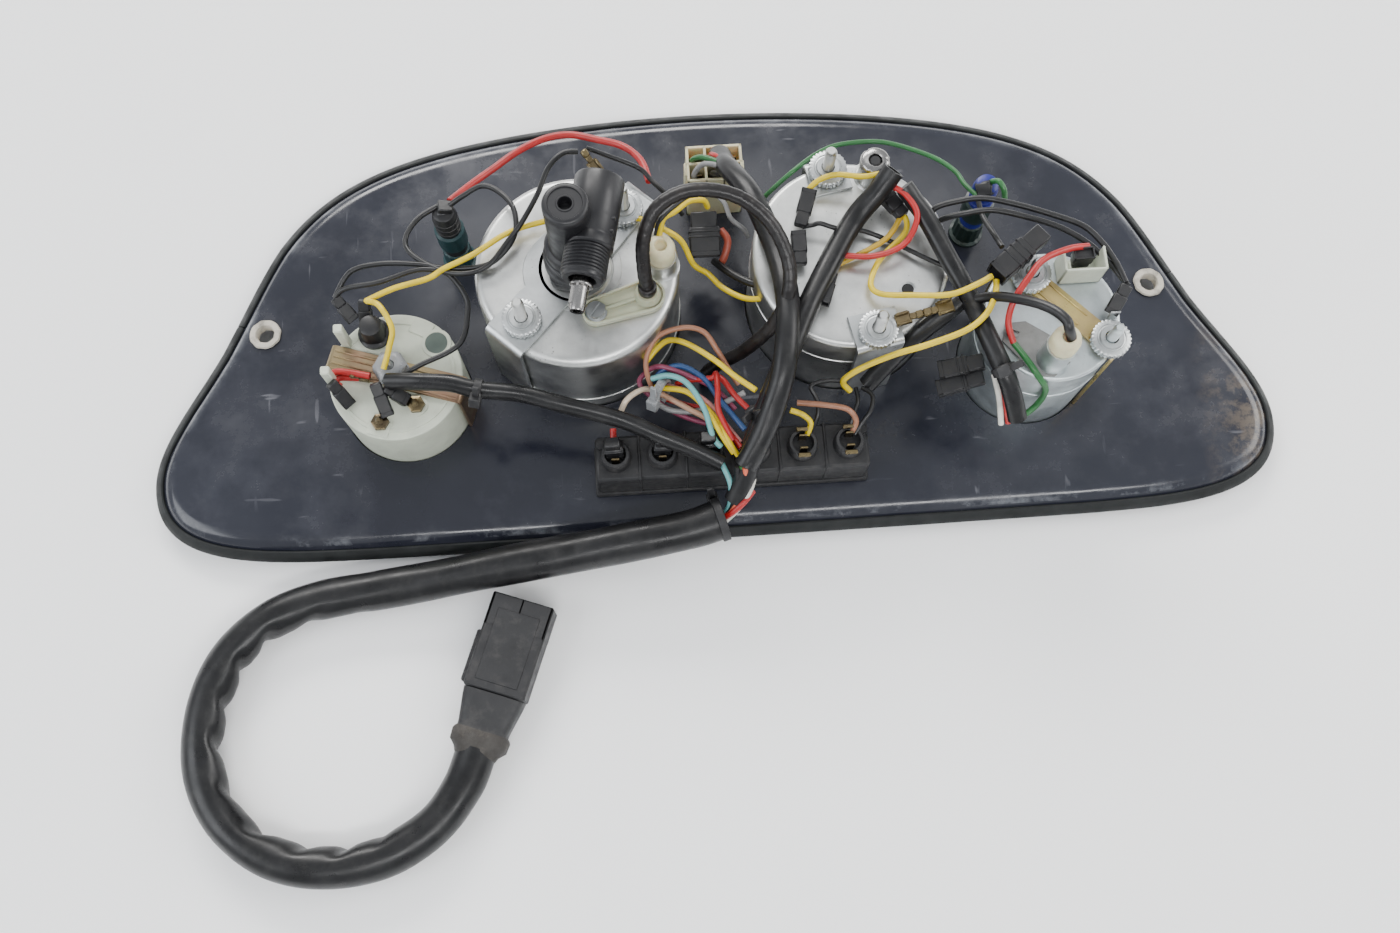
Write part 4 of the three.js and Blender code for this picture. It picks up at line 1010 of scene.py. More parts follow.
def make_speedo():
    g = SPEEDO
    bm = bmesh.new()
    at = at_gauge(g)
    lathe(bm, can_profile(g), at, 120)
    ring_lathe(bm, [(9.2, 63.1), (14.4, 63.1), (14.4, 64.9), (13.7, 65.7), (9.2, 65.7)], at, 72)
    ring_lathe(bm, [(14.6, 63.5), (18.4, 63.5), (18.0, 63.95), (15.0, 63.95)], at, 72)
    ring_lathe(bm, [(40.9, 20), (41.55, 20.4), (41.55, 22.2), (40.9, 22.6)], at, 120)
    for _, x, y in SPEEDO_STUDS:
        lathe(bm, [(0, 63.5), (4.6, 63.5), (4.4, 64.1), (3.4, 64.2), (0, 64.2)],
              post(x, y), 32)
        stud(bm, x, y, 64, 85)
    x, y, top, _ = SOCKETS["speedo"]
    metal_socket(bm, x, y, 63.6, top)
    skin("speedo_can", bm, ZINC)

    bm = bmesh.new()
    turn = at @ Matrix.Rotation(SPEEDO_TURN, 4, "Z")
    plate_z = 64.0
    outline = [(-40.6, -8), (-40.6, 11), (-19, 10.5)]
    outline += curve_to((-19, 10.5), (-15, 17), (-8, 19)) + curve_to((-8, 19), (8, 21.5), (14, 15))
    outline += curve_to((14, 15), (17, 11), (22, 10)) + [(40.6, 9), (40.6, -6), (12.6, -7.8)]
    outline += arc(14.8, 0, 0, -31.8, 211.8, 30) + [(-12.6, -7.8)]
    soft_prism(bm, outline, plate_z, plate_z + 1.6, 0.25, turn)
    for sign, n0, n1 in ((-1, -8, 11), (1, -6, 9)):
        path = [(sign * 40.2, plate_z + 0.8)]
        path += [(sign * u, z) for u, z in arc(2.4, 40.0, 62.4, 90, 0, 6)]
        path += [(sign * 42.4, PANEL_BACK + 0.4)]
        side_strap(bm, path, n0, n1, 1.6, turn)
    skin("speedo_clamp", bm, DULL_ZINC)


DRIVE_AT = at_gauge(SPEEDO)


def barrel_frame():
    turn = math.radians(BARREL["turn"])
    return place(BARREL["at"], (math.cos(turn), math.sin(turn), 0), (0, 0, 1))


def make_drive():
    bm = bmesh.new()
    flats = hexagon(1, 66.4, 71, 0.3, 0.92)
    ring_lathe(bm, [(8.4, 66), (10.9, 66), (11.4, 66.5), (11.4, 70.8), (11.0, 71.2), (11.6, 72),
                    (12.1, 72.7), (12.1, 78.6), (11.6, 79.4), (11.0, 79.8), (11.0, 80.6),
                    (11.4, 81), (11.3, 81.7), (10.8, 82), (8.4, 82)], DRIVE_AT, 96, flats)
    skin("speedo_drive_nut", bm, DRIVE_BLACK)

    bm = bmesh.new()
    upright = [(0, 66.5), (8.0, 66.5), (8.0, 82.3), (10.4, 82.3), (10.8, 82.8), (10.8, 87.2),
               (10.2, 88.0), (9.0, 88.6), (8.7, 89.6), (8.6, 92), (8.5, 116.8), (8.6, 117.2),
               (8.6, 120.9), (8.2, 121.6), (7.4, 122.0), (6.5, 122.0), (6.3, 121.6), (3.4, 121.6),
               (3.2, 121.9), (2.7, 121.9), (2.5, 121.4), (2.5, 117), (0, 117)]
    lathe(bm, upright, DRIVE_AT, 96)
    at = barrel_frame()
    thread = []
    s = 8.6
    while s < 19.4:
        thread += [(8.05, s), (8.65, s + 0.45), (8.65, s + 0.75), (8.05, s + 1.2)]
        s += 1.35
    barrel = [(0, -21), (8.3, -21), (9.2, -20.6), (9.6, -19.8), (9.6, 3.0), (9.2, 3.6), (9.2, 4.2),
              (9.5, 4.6), (9.5, 7.6), (9.0, 8.2)]
    barrel += thread + [(7.9, 19.9), (7.9, 20.4), (7.4, 21), (5.5, 21), (5.2, 20.7), (5.2, 4),
                        (0, 4)]
    lathe(bm, barrel, at, 96)
    # The casting's web between barrel and upright, with its mould lines.
    block(bm, (-5.4, -8.8, -7.6), (5.4, 0.5, 7.6), at, 1.8)
    for s in (-3.0, 2.0):
        block(bm, (-6.0, -9.0, s - 0.5), (6.0, 0.5, s + 0.5), at, 0.3)
    skin("speedo_drive_housing", bm, DRIVE_BLACK)

    bm = bmesh.new()
    shaft = [(0, -13.6), (3, -13.6), (3, 20), (3, 23.5), (3.0, 32.6), (2.6, 33.4), (1.6, 33.4),
             (1.6, 25), (0, 25)]
    lathe(bm, shaft, at, 48)
    for sign in (-1, 1):
        block(bm, (sign * 1.0 - 0.05, 2.0, 20.2), (sign * 1.0 + 0.95 * sign, 3.35, 31), at, 0.1)
    block(bm, (-1.0, 2.2, 31.0), (1.0, 3.2, 32.2), at, 0.2)
    ring_lathe(bm, [(3, 22.2), (4.2, 22.2), (4.4, 22.5), (4.4, 23.3), (4.1, 23.6), (3, 23.6)], at,
               40)
    skin("speedo_drive_shaft", bm, STEEL, "cable_shaft")


def make_trip():
    """The cream bracket for the trip reset, its screw and flexible drive, and the knob in front."""
    screw, boss = Vector((-48.3, -18.7)), Vector((-27.6, -13.0))
    run = (boss - screw).normalized()
    side = Vector((-run.y, run.x))
    rim = []
    for centre, r, start in ((boss, 7.0, -90), (screw, 5.6, 90)):
        for k in range(19):
            a = math.radians(start + 180 * k / 18)
            rim.append([centre + run * (q * math.cos(a)) + side * (q * math.sin(a))
                        for q in (r, r - 1.1)])
    bm = bmesh.new()
    soft_prism(bm, [outer for outer, _ in rim], 64.0, 65.8, 0.3)
    rings = []
    for level, offset in ((65.5, 0), (67.1, 0), (67.3, 0.3), (67.3, 0.8), (65.5, 1)):
        rings.append([bm.verts.new(Vector((*(o.lerp(i, offset)), level)) * MM) for o, i in rim])
    join_rings(bm, rings + [rings[0]], ends=NO_ENDS)
    lathe(bm, [(0, 65), (5.4, 65), (5.2, 67.6), (4.7, 68.2), (4.6, 70.3), (4.3, 70.6), (0, 70.6)],
          post(boss.x, boss.y), 48)
    mid = screw.lerp(boss, 0.5)
    rib = post(mid.x, mid.y) @ Matrix.Rotation(math.atan2(run.y, run.x), 4, "Z")
    block(bm, (-7, -0.7, 65.5), (7, 0.7, 67.0), rib, 0.3)
    skin("trip_reset_arm", bm, ARM_NYLON)

    bm = bmesh.new()
    slotted_head(bm, Matrix.Translation((screw.x, screw.y, 66.0)) @ Matrix.Rotation(0.9, 4, "Z"),
                 3.5, 3.0)
    finish_mesh("trip_arm_screw", bm, DULL_ZINC)

    hose_points = [(-27.6, -13, 70.8), (-27.6, -12.8, 74.4), (-28.4, -9.4, 82), (-28, -1, 91),
                   (-23, 8, 98), (-13, 13.6, 100), (-1, 14.6, 99), (11, 11.5, 96), (21.5, 3, 91),
                   (27.4, -9.4, 84), (27, -20.5, 76), (20.8, -28, 63), (10.5, -31.4, 47),
                   (0.5, -32, 34), (-4.4, -32, 24.5), (-5, -32, 16.2)]
    path = spline(hose_points, 18)

    def ribbed(i, angle):
        return 1 + (0.035 * math.sin(i * 2.1) if i % 2 else 0)

    bm = bmesh.new()
    sweep(bm, path, HOSE_R, 22, shape=ribbed)
    start = place(path[0], path[1] - path[0])
    ring_lathe(bm, [(2.6, 0.2), (3.5, 0.2), (3.7, 0.8), (3.7, 4.2), (3.4, 4.9), (2.6, 5)], start,
               36)
    skin("trip_reset_hose", bm, HOSE, smooth=60)

    bm = bmesh.new()
    x, y = KNOB
    grip = knurl(20, 0.05, 2, 8.6)
    lathe(bm, [(0, 1.4), (5.0, 1.4), (5.7, 1.8), (6.0, 2.6), (6.0, 8.6), (5.6, 9.5), (2.2, 9.7),
               (2.2, 15.8), (0, 15.8)],
          post(x, y), 80, grip)
    skin("trip_reset_knob", bm, BLACK, "reset_knob")


def make_odometer():
    bm = bmesh.new()
    at = place((SPEEDO["x"], -13.8, 15.7), (1, 0, 0), (0, 0, 1))
    profile = [(0, -12.5)]
    for k in range(5):
        a = -12.5 + 5 * k
        profile += [(5.3, a + 0.05), (5.6, a + 0.3), (5.6, a + 4.7), (5.3, a + 4.95)]
    lathe(bm, profile + [(0, 12.5)], at, 60)
    skin("speedo_odometer", bm, BLACK, "odometer_drums")
    bm = bmesh.new()
    for k in range(5):
        for q in range(10):
            turn = at @ Matrix.Rotation(2 * math.pi * q / 10, 4, "Z")
            a = -12.5 + 5 * k
            block(bm, (5.5, -0.9, a + 1.6), (5.66, 0.9, a + 2.1), turn, 0.02)
            block(bm, (5.5, -0.9, a + 2.9), (5.66, 0.9, a + 3.4), turn, 0.02)
    finish_mesh("speedo_odometer_marks", bm, PRINT, "odometer_drums")


make_speedo()
make_front("speedo", SPEEDO, 4.5, (13.5, -18, -12))
# The pointers start 135 degrees before the top and sweep 270.
FULL = math.radians(270)
START = math.radians(-135)
make_scale("speedo_scale", SPEEDO, START, FULL, 11, 5, [str(20 * k) for k in range(12)], 4.2)
make_pointer("speedo_pointer", "speedo_needle", SPEEDO, 31, 9, 2.6, 5.5, 5.4, -45)
for name, x, y in SPEEDO_STUDS:
    knurled_nut("speedo_nut_" + name, x, y, NUT_Z["speedo"])
lamp_holder("speedo_lamp_holder", *SOCKETS["speedo"], 2.4)
make_drive()
make_trip()
make_odometer()


# ---- tachometer, clock, voltmeter ------------------------------------------------------------
def can(name, g, studs, material=ZINC):
    bm = bmesh.new()
    lathe(bm, can_profile(g), at_gauge(g), 112)
    seam = 0.7 * g["back"]
    ring_lathe(bm, [(g["r"] - 0.3, seam), (g["r"] + 0.3, seam + 0.4), (g["r"] + 0.3, seam + 1.6),
                    (g["r"] - 0.3, seam + 2)], at_gauge(g), 112)
    for _, x, y, r in studs:
        lathe(bm, [(0, g["back"] - 0.3), (4.4, g["back"] - 0.3), (4.1, g["back"] + 0.3),
                   (0, g["back"] + 0.4)],
              post(x, y), 32)
        stud(bm, x, y, g["back"], STUD_TIP, r)
    if name in ("tacho_can", "voltmeter_can"):
        x, y, top, _ = SOCKETS["tacho" if name == "tacho_can" else "volt"]
        metal_socket(bm, x, y, g["back"], top)
    return skin(name, bm, material)


def bracket(name, g, degrees, u0, reach, n0, n1, z, thick, material, ribs=()):
    """A bridge strap from u0 to reach, with raised ribs where it's pressed."""
    bm = bmesh.new()
    at = at_gauge(g, degrees)
    middle = z + thick / 2
    path = []
    if u0 > 0:
        path.append((u0, middle))
    else:
        shoulder = arc(2, -u0 - thick / 2 - 2, middle - 2, 90, 0, 6)
        path.append((u0 + thick / 2, PANEL_BACK + 0.4))
        path += [(-u, q) for u, q in reversed(shoulder)]
    path += arc(2, reach - thick / 2 - 2, middle - 2, 90, 0, 6)
    path.append((reach - thick / 2, PANEL_BACK + 0.4))
    side_strap(bm, path, n0, n1, thick, at)
    for a, b, n, wide in ribs:
        block(bm, (a, n - wide / 2, z + thick - 0.3), (b, n + wide / 2, z + thick + 0.45), at, 0.3)
    return skin(name, bm, material)


def make_tacho():
    g = TACHO
    studs = [("lower", 62.1, -34.1, 2.4), ("upper", 48.7, 36.5, 2.4)]
    can("tacho_can", g, studs)
    make_front("tacho", g, 4.5)
    make_scale("tacho_scale", g, START, FULL, 9, 5, [str(k) for k in range(10)], 5.5)
    make_pointer("tacho_pointer", "tacho_needle", g, 31, 9, 2.6, 5.5, 5.4, -45)
    for name, x, y, _ in studs:
        knurled_nut("tacho_nut_" + name, x, y, NUT_Z["tacho"])
    for name, x, y, _ in studs:
        turn = math.degrees(math.atan2(y - g["y"], x - g["x"]))
        half = 8.5 if name == "upper" else 10.0
        bracket("tacho_bracket_" + name, g, turn, 27, 42.4, -half, half, 64.3, 1.6, DULL_ZINC)

    def notches(z, angle):
        return 1 - (0.05 if math.cos(3 * angle) > 0.9 else 0)

    x, y, socket_top, _ = SOCKETS["tacho"]
    shell = [(0, -5), (4.7, -5), (4.7, 0.3), (5.9, 0.3), (6.2, 0.9), (6.2, 2.6), (5.8, 3.6),
             (4.9, 4.3), (3.0, 4.4), (2.7, 4.1), (2.7, 2), (0, 2)]
    core = [(0, 1.8), (2.6, 1.8), (2.5, 3.4), (1.9, 3.9), (0, 3.9)]
    bm = bmesh.new()
    lathe(bm, [(r, socket_top + z) for r, z in shell], post(x, y), 72, notches)
    skin("tacho_lamp_holder", bm, STEEL)
    bm = bmesh.new()
    lathe(bm, [(r, socket_top + z) for r, z in core], post(x, y), 32)
    finish_mesh("tacho_lamp_core", bm, BLACK)

    # The small service hole near the lower stud.
    hole = post(76.4, -16.2)
    bm = bmesh.new()
    lathe(bm, [(0, 63.8), (3.4, 63.8), (3.4, 64.3), (2.6, 64.5), (2.6, 64.2), (0, 64.2)], hole, 32)
    finish_mesh("tacho_hole_rim", bm, DULL_ZINC)
    # A black disc in the hole is painted shade for the hole's depth.
    bm = bmesh.new()
    disc(bm, hole, 2.45, 63.9, 64.27, 32)
    finish_mesh("tacho_hole_shade", bm, BLACK)


SPARE_HOLE = (-115.1, -19.2)
CLOCK_STUD = (-133.3, -29.8)
CLOCK_TERMINALS = ((-123.6, -45.4), (-138.0, -52.0))


def make_clock():
    g = CLOCK
    bm = bmesh.new()
    lathe(bm, can_profile(g), at_gauge(g), 112)
    for x, y in ((-151.4, -17.0), (-156.4, -34.4)):
        block(bm, (x - 1.8, y - 1.8, 43), (x + 1.8, y + 1.8, 61), soft=0.5)
    for x, y in CLOCK_TERMINALS:
        disc(bm, post(x, y), 4.6, 43, 43.9, 32)
    for degrees in (62, -108):
        at = at_gauge(g, degrees)
        block(bm, (19.5, -4.6, 43.0), (26.2, 4.6, 44.0), at, 0.35)
    ring_lathe(bm, [(22.6, 43.2), (24.2, 43.2), (24.0, 43.75), (22.8, 43.75)], at_gauge(g), 96)
    ring_lathe(bm, [(4.6, 43.2), (6.2, 43.2), (6.0, 44.3), (4.6, 44.3)], post(*SPARE_HOLE), 48)
    skin("clock_case", bm, WHITE)

    # A dark green disc stands for the hole's inside: the green of the part within, with painted
    # shade for the hole's depth.
    bm = bmesh.new()
    disc(bm, post(*SPARE_HOLE), 4.5, 44.0, 44.25, 40)
    finish_mesh("clock_spare_hole_shaded", bm, HOLE_GREEN_AND_SHADE)

    bm = bmesh.new()
    for x, y in CLOCK_TERMINALS:
        at = post(x, y)
        lathe(bm, [(0, 43.8), (3.5, 43.8), (3.5, 45.8), (2.9, 46.1), (0, 46.1)], at, 72,
              hexagon(0.92))
        stud(bm, x, y, 45.5, 49, 1.6, 0.7, 1.0)
    finish_mesh("clock_terminals", bm, BRASS)

    bracket("clock_clamp", g, -18, -29.2, 29.2, -5.2, 6.6, 43.7, 1.4, ROSE_GOLD,
            [(-27, -5, 4.2, 1.0), (-27, -5, 1.6, 0.7), (-27, -5, -1.2, 0.7), (-27, -5, -3.6, 1.0),
             (6, 27, 4.2, 1.0), (6, 27, 0.6, 0.7), (6, 27, -3.6, 1.0)])
    bm = bmesh.new()
    ring_lathe(bm, [(2.2, 45.4), (6.9, 45.4), (7.0, 45.9), (6.3, 46.6), (6.3, 49.2), (5.6, 49.9),
                    (4.4, 50.6), (2.2, 50.6)], post(*CLOCK_STUD), 72, hexagon(0.94, high=49.5))
    skin("clock_nut", bm, NYLON)
    bm = bmesh.new()
    stud(bm, *CLOCK_STUD, 44.6, 52.6, 1.9, 0.7)
    finish_mesh("clock_stud", bm, DULL_ZINC)

    bm = bmesh.new()
    lathe(bm, [(0, 43.6), (6.4, 43.6), (6.6, 44), (6.6, 45.8), (5.6, 46.3), (5.2, 47), (5.0, 53),
               (4.4, 54.4), (3.0, 55), (0, 55)], post(-140, -14), 64, knurl(4, 0.10, 46, 54))
    for start, end in (((-154, -1, 54), (-147.5, -9, 48.5)), ((-142, -3.5, 56), (-142.5, -12, 47)),
                       ((-155, -38, 56), (-150, -44, 45.5)), ((-138, -39, 55), (-134.5, -50, 46.5)),
                       ((-134.5, -40, 53), (-127, -44, 46))):
        rubber_shoe(bm, start, end, 5.4, 3.6)
    skin("clock_lamp_holder", bm, BLACK)
    bm = bmesh.new()
    blade_terminal(bm, (-141, -34, 48), (-149, -33, 50), 4.4)
    finish_mesh("clock_spades", bm, BRASS)
    make_front("clock", g, 4)
    make_scale("clock_scale", g, math.radians(30), math.radians(330), 11, 1,
               [str(k) for k in range(1, 13)], 4.4, 0.9)
    hands = (("clock_hour_hand", "clock_hour", 7.0, 35, 13.6, 2.2),
             ("clock_minute_hand", "clock_minute", 4.9, 150, 20.4, 1.6))
    for name, body, z, angle, length, wide in hands:
        make_pointer(name, body, g, length, 4, wide, 2.6, z, angle, PRINT)


def make_volt():
    g = VOLT
    studs = [("lower", 151.9, -45.15, 2.2), ("upper", 124.6, -15.9, 2.2)]
    can("voltmeter_can", g, studs, BLUE_ZINC)
    for name, x, y, _ in studs:
        knurled_nut("voltmeter_nut_" + name, x, y, NUT_Z["voltmeter"])
    turn = math.degrees(math.atan2(-0.73, 0.68))
    bracket("voltmeter_clamp", g, turn, -29, 29.2, 1, 11, 67.8, 1.4, GOLD,
            [(-10, 10, 3.2, 1.0), (-10, 10, 8.8, 1.0)])
    bm = bmesh.new()
    (x0, y0, z0), (x1, y1, z1) = (135.4, -19.4, 67.8), (152.4, -9.4, 81.0)
    for lo, hi in (((x0, y0, z0), (x1, y0 + 1, z1)), ((x0, y0, z0), (x0 + 1, y1, z1)),
                   ((x1 - 1, y0, z0), (x1, y1, z1)), ((x0, y0, z0), (x1, y1, z0 + 1))):
        block(bm, lo, hi, soft=0.4)
    block(bm, (x0 + 5.5, y0 + 0.4, z0 + 0.6), (x1 - 5.5, y1 - 1.5, z0 + 2.2), soft=0.4)
    skin("voltmeter_terminal_shield", bm, WHITE)
    bm = bmesh.new()
    block(bm, (152.4, -35.8, 66.8), (156.4, -35.0, 75.5), soft=0.25)
    finish_mesh("voltmeter_tab", bm, DULL_ZINC)
    bm = bmesh.new()
    plate = [(121.5, -57.0), (129.0, -58.0), (136.0, -52.5), (133.6, -43.6), (120.6, -34.2),
             (112.6, -34.6), (110.4, -42.0)]
    soft_prism(bm, plate, 67.3, 68.4, 0.2)
    slotted_head(bm, Matrix.Translation((114.8, -38.8, 68.0)) @ Matrix.Rotation(-0.4, 4, "Z"), 2.6,
                 2.0)
    finish_mesh("voltmeter_plate", bm, GREY_PLATE)
    lamp_holder("voltmeter_lamp_holder", *SOCKETS["volt"], 2.2)
    make_front("voltmeter", g, 4)
    make_scale("voltmeter_scale", g, math.radians(-45), math.radians(90), 4, 4,
               ["8", "10", "12", "14", "16"], 4.0)
    make_pointer("voltmeter_pointer", "volt_needle", g, 20, 5, 2.2, 4.4, 5.4, 45)


make_tacho()
make_clock()
make_volt()


# ---- lamp strip, pilot lamps, hazard switch ---------------------------------------------------
def make_strip():
    s = STRIP
    x0, x1 = s["x"] - s["length"] / 2, s["x"] + s["length"] / 2
    y0, y1 = s["y"] - s["width"] / 2, s["y"] + s["width"] / 2
    lamps = [s["x"] + (k - (s["count"] - 1) / 2) * s["pitch"] for k in range(s["count"])]
    bm = bmesh.new()
    block(bm, (x0, y0, 13.3), (x1, y1, s["top"]), soft=1.2)
    block(bm, (x0 - 1.2, y0 - 1.0, 13.3), (x1 + 1.2, y1 + 1.0, 17), soft=0.6)
    for k, x in enumerate(lamps):
        ring_lathe(bm, [(4.4, 34), (6.4, 34), (6.2, 36.5), (6.0, 37), (6.0, 40.3), (5.5, 41),
                        (4.4, 41)],
                   post(x, s["y"]), 48)
        lathe(bm, [(0, 34), (4.5, 34), (4.5, 36.6), (0, 36.9)], post(x, s["y"]), 32)
        if k:
            block(bm, (x - s["pitch"] / 2 - 0.6, y0 - 0.4, 17),
                  (x - s["pitch"] / 2 + 0.6, y1 + 0.4, s["top"] + 0.7), soft=0.4)
    for x in (x0 + 2.4, x1 - 2.4):
        lathe(bm, [(0, 34.5), (2.0, 34.5), (1.8, 36.8), (0, 37)], post(x, s["y"] + 5.5), 24)
    skin("warning_lamp_housing", bm, DUSTY_BLACK)
    bm = bmesh.new()
    for k, x in enumerate(lamps):
        for side in (-1, 1):
            block(bm, (x - 1.6, s["y"] + side * 2.6 - 0.4, 36.5),
                  (x + 1.6, s["y"] + side * 2.6 + 0.4, 43), soft=0.2)
            if k > 3:
                block(bm, (x - 2.6, s["y"] + side * 5.4 - 0.9, 40.8),
                      (x + 2.6, s["y"] + side * 5.4 + 0.9, 42.4), soft=0.4)
    finish_mesh("lamp_contacts", bm, BRASS)
    bm = bmesh.new()
    for x, lean in zip(lamps, (-1.0, 0.8, -0.4)):
        rubber_shoe(bm, (x + lean, s["y"] + 3.5, 47), (x, s["y"] + 1, 38), 7.2, 5.4, (0, 1, 0), 1)
    finish_mesh("lamp_boots", bm, BLACK)
    bm = bmesh.new()
    block(bm, (x0 + 2, y0 + 2.4, 7.6), (x1 - 2, y1 - 2.4, 12.8), soft=0.8)
    skin("warning_lamp_lens", bm, LENS)


def make_pilots():
    for (side, x, y), casing, collar in zip(PILOTS, (BLACK, BLUE), (TEAL_BAND, DARK_GREEN)):
        bm = bmesh.new()
        at = post(x, y)
        lathe(bm, [(0, 6.6), (5.6, 6.6), (6.6, 7.6), (6.6, 9.6), (5.1, 9.7), (5.1, 57), (4.4, 59.4),
                   (3.2, 60), (0, 60)], at, 56)
        for z in (46, 50, 54):
            ring_lathe(bm, [(5.0, z), (5.35, z + 0.3), (5.35, z + 1.2), (5.0, z + 1.5)], at, 56)
        skin(f"pilot_lamp_{side}", bm, casing)
        bm = bmesh.new()
        grip = knurl(14, 0.05, 15, math.inf)
        ring_lathe(bm, [(5.2, 13.3), (7.4, 13.3), (7.4, 14.4), (6.3, 15.2), (6.0, 26.3), (5.2, 27)],
                   at, 84, grip)
        ring_lathe(bm, [(5.1, 33), (6.3, 33.3), (6.3, 44.3), (5.1, 44.8)], at, 56)
        finish_mesh(f"pilot_collar_{side}", bm, collar)


def make_switch():
    s = SWITCH
    at = at_gauge(s)
    w, h, top = s["width"] / 2, s["height"] / 2, s["top"]
    bm = bmesh.new()
    block(bm, (-w, -h, 8), (w, h, top - 13), at, 0.7)
    block(bm, (-w - 2.4, -h - 2.4, 6.4), (w + 2.4, h + 2.4, 9.7), at, 0.8)
    cell_x, cell_y = 7.6, 7.7
    for k in range(4):
        x = (k - 1.5) * cell_x
        block(bm, (x - 0.6, -h, top - 13.4), (x + 0.6, h, top), at, 0.25)
    for k in range(3):
        y = (k - 1) * cell_y
        block(bm, (-w, y - 0.6, top - 13.4), (w, y + 0.6, top), at, 0.25)
    for sign in (-1, 1):
        block(bm, (sign * w - 0.9, -3.2, 22), (sign * w + 0.9, 3.2, 40), at, 0.5)
        block(bm, (-6, sign * (h + 0.2) - 0.6, 20), (6, sign * (h + 0.2) + 0.6, 36), at, 0.4)
    skin("hazard_switch_body", bm, CREAM)
    bm = bmesh.new()
    for i in range(3):
        for j in range(2):
            x, y = (i - 1) * cell_x, (j - 0.5) * cell_y
            block(bm, (x - 2.2, y - 0.35, top - 13.2), (x + 2.2, y + 0.35, top - 3.4), at, 0.15)
    finish_mesh("hazard_switch_blades", bm, BRASS)


def make_rocker():
    bm = bmesh.new()
    at = at_gauge(SWITCH)
    block(bm, (-9, -5.9, 2.6), (9, 5.9, 7.4), at, 1.1)
    for k in range(-2, 3):
        block(bm, (k * 1.6 - 6.5, -4.6, 2.3), (k * 1.6 - 5.9, 4.6, 3.4), at, 0.2)
    finish_mesh("hazard_rocker_skin", bm, BLACK, "hazard_rocker", replaces=["hazard_switch_rocker"])


make_strip()
make_pilots()
make_switch()
make_rocker()


# ---- wiring ----------------------------------------------------------------------------------
MAIN_ROUTE = [(2.6, -90.6, 33), (7, -83, 40.5), (11, -72, 50), (14.6, -64, 57), (22.6, -48.5, 67),
              (31.6, -30, 70.2), (42.4, -10.4, 70.2), (56, 11.2, 71.5), (66, 20.5, 77),
              (72.6, 27, 83)]
sleeve("harness_main_skin", HARNESS_R, MAIN_ROUTE, 0.05, replaces=["harness_main"])
sleeve("clock_cable", 3.5, [(-133, -38, 53), (-122, -40, 57), (-108, -42, 58), (-97, -45, 57),
                            (-81, -47, 55), (-65, -52, 54), (-41, -59, 50), (-26, -66, 47),
                            (-14, -71, 44), (-2, -77, 41)],
       -0.10, False)
sleeve("hazard_sleeve", 4.6, [(7, 59, 44), (8, 52, 50), (10, 45, 56), (16, 32, 63), (21, 17, 66),
                              (25, 1, 68), (27, -17, 72), (26, -34, 74), (23, -50, 70),
                              (18, -63, 62), (12, -74, 55), (7, -81, 50)], 0.08)
sleeve("right_sleeve", 3.8, [(77, 22, 78), (80, 18, 76), (85, 10, 74), (92, -6, 72), (98, -21, 71),
                             (103, -40, 74), (108, -54, 72), (112, -63, 66), (115, -71, 58)], 0.06)
sleeve("flat_tube", 3.4, [(95, -25, 70), (89, -29, 68), (80, -34, 62), (71, -39, 52),
                          (60, -47, 40)], 0.12)

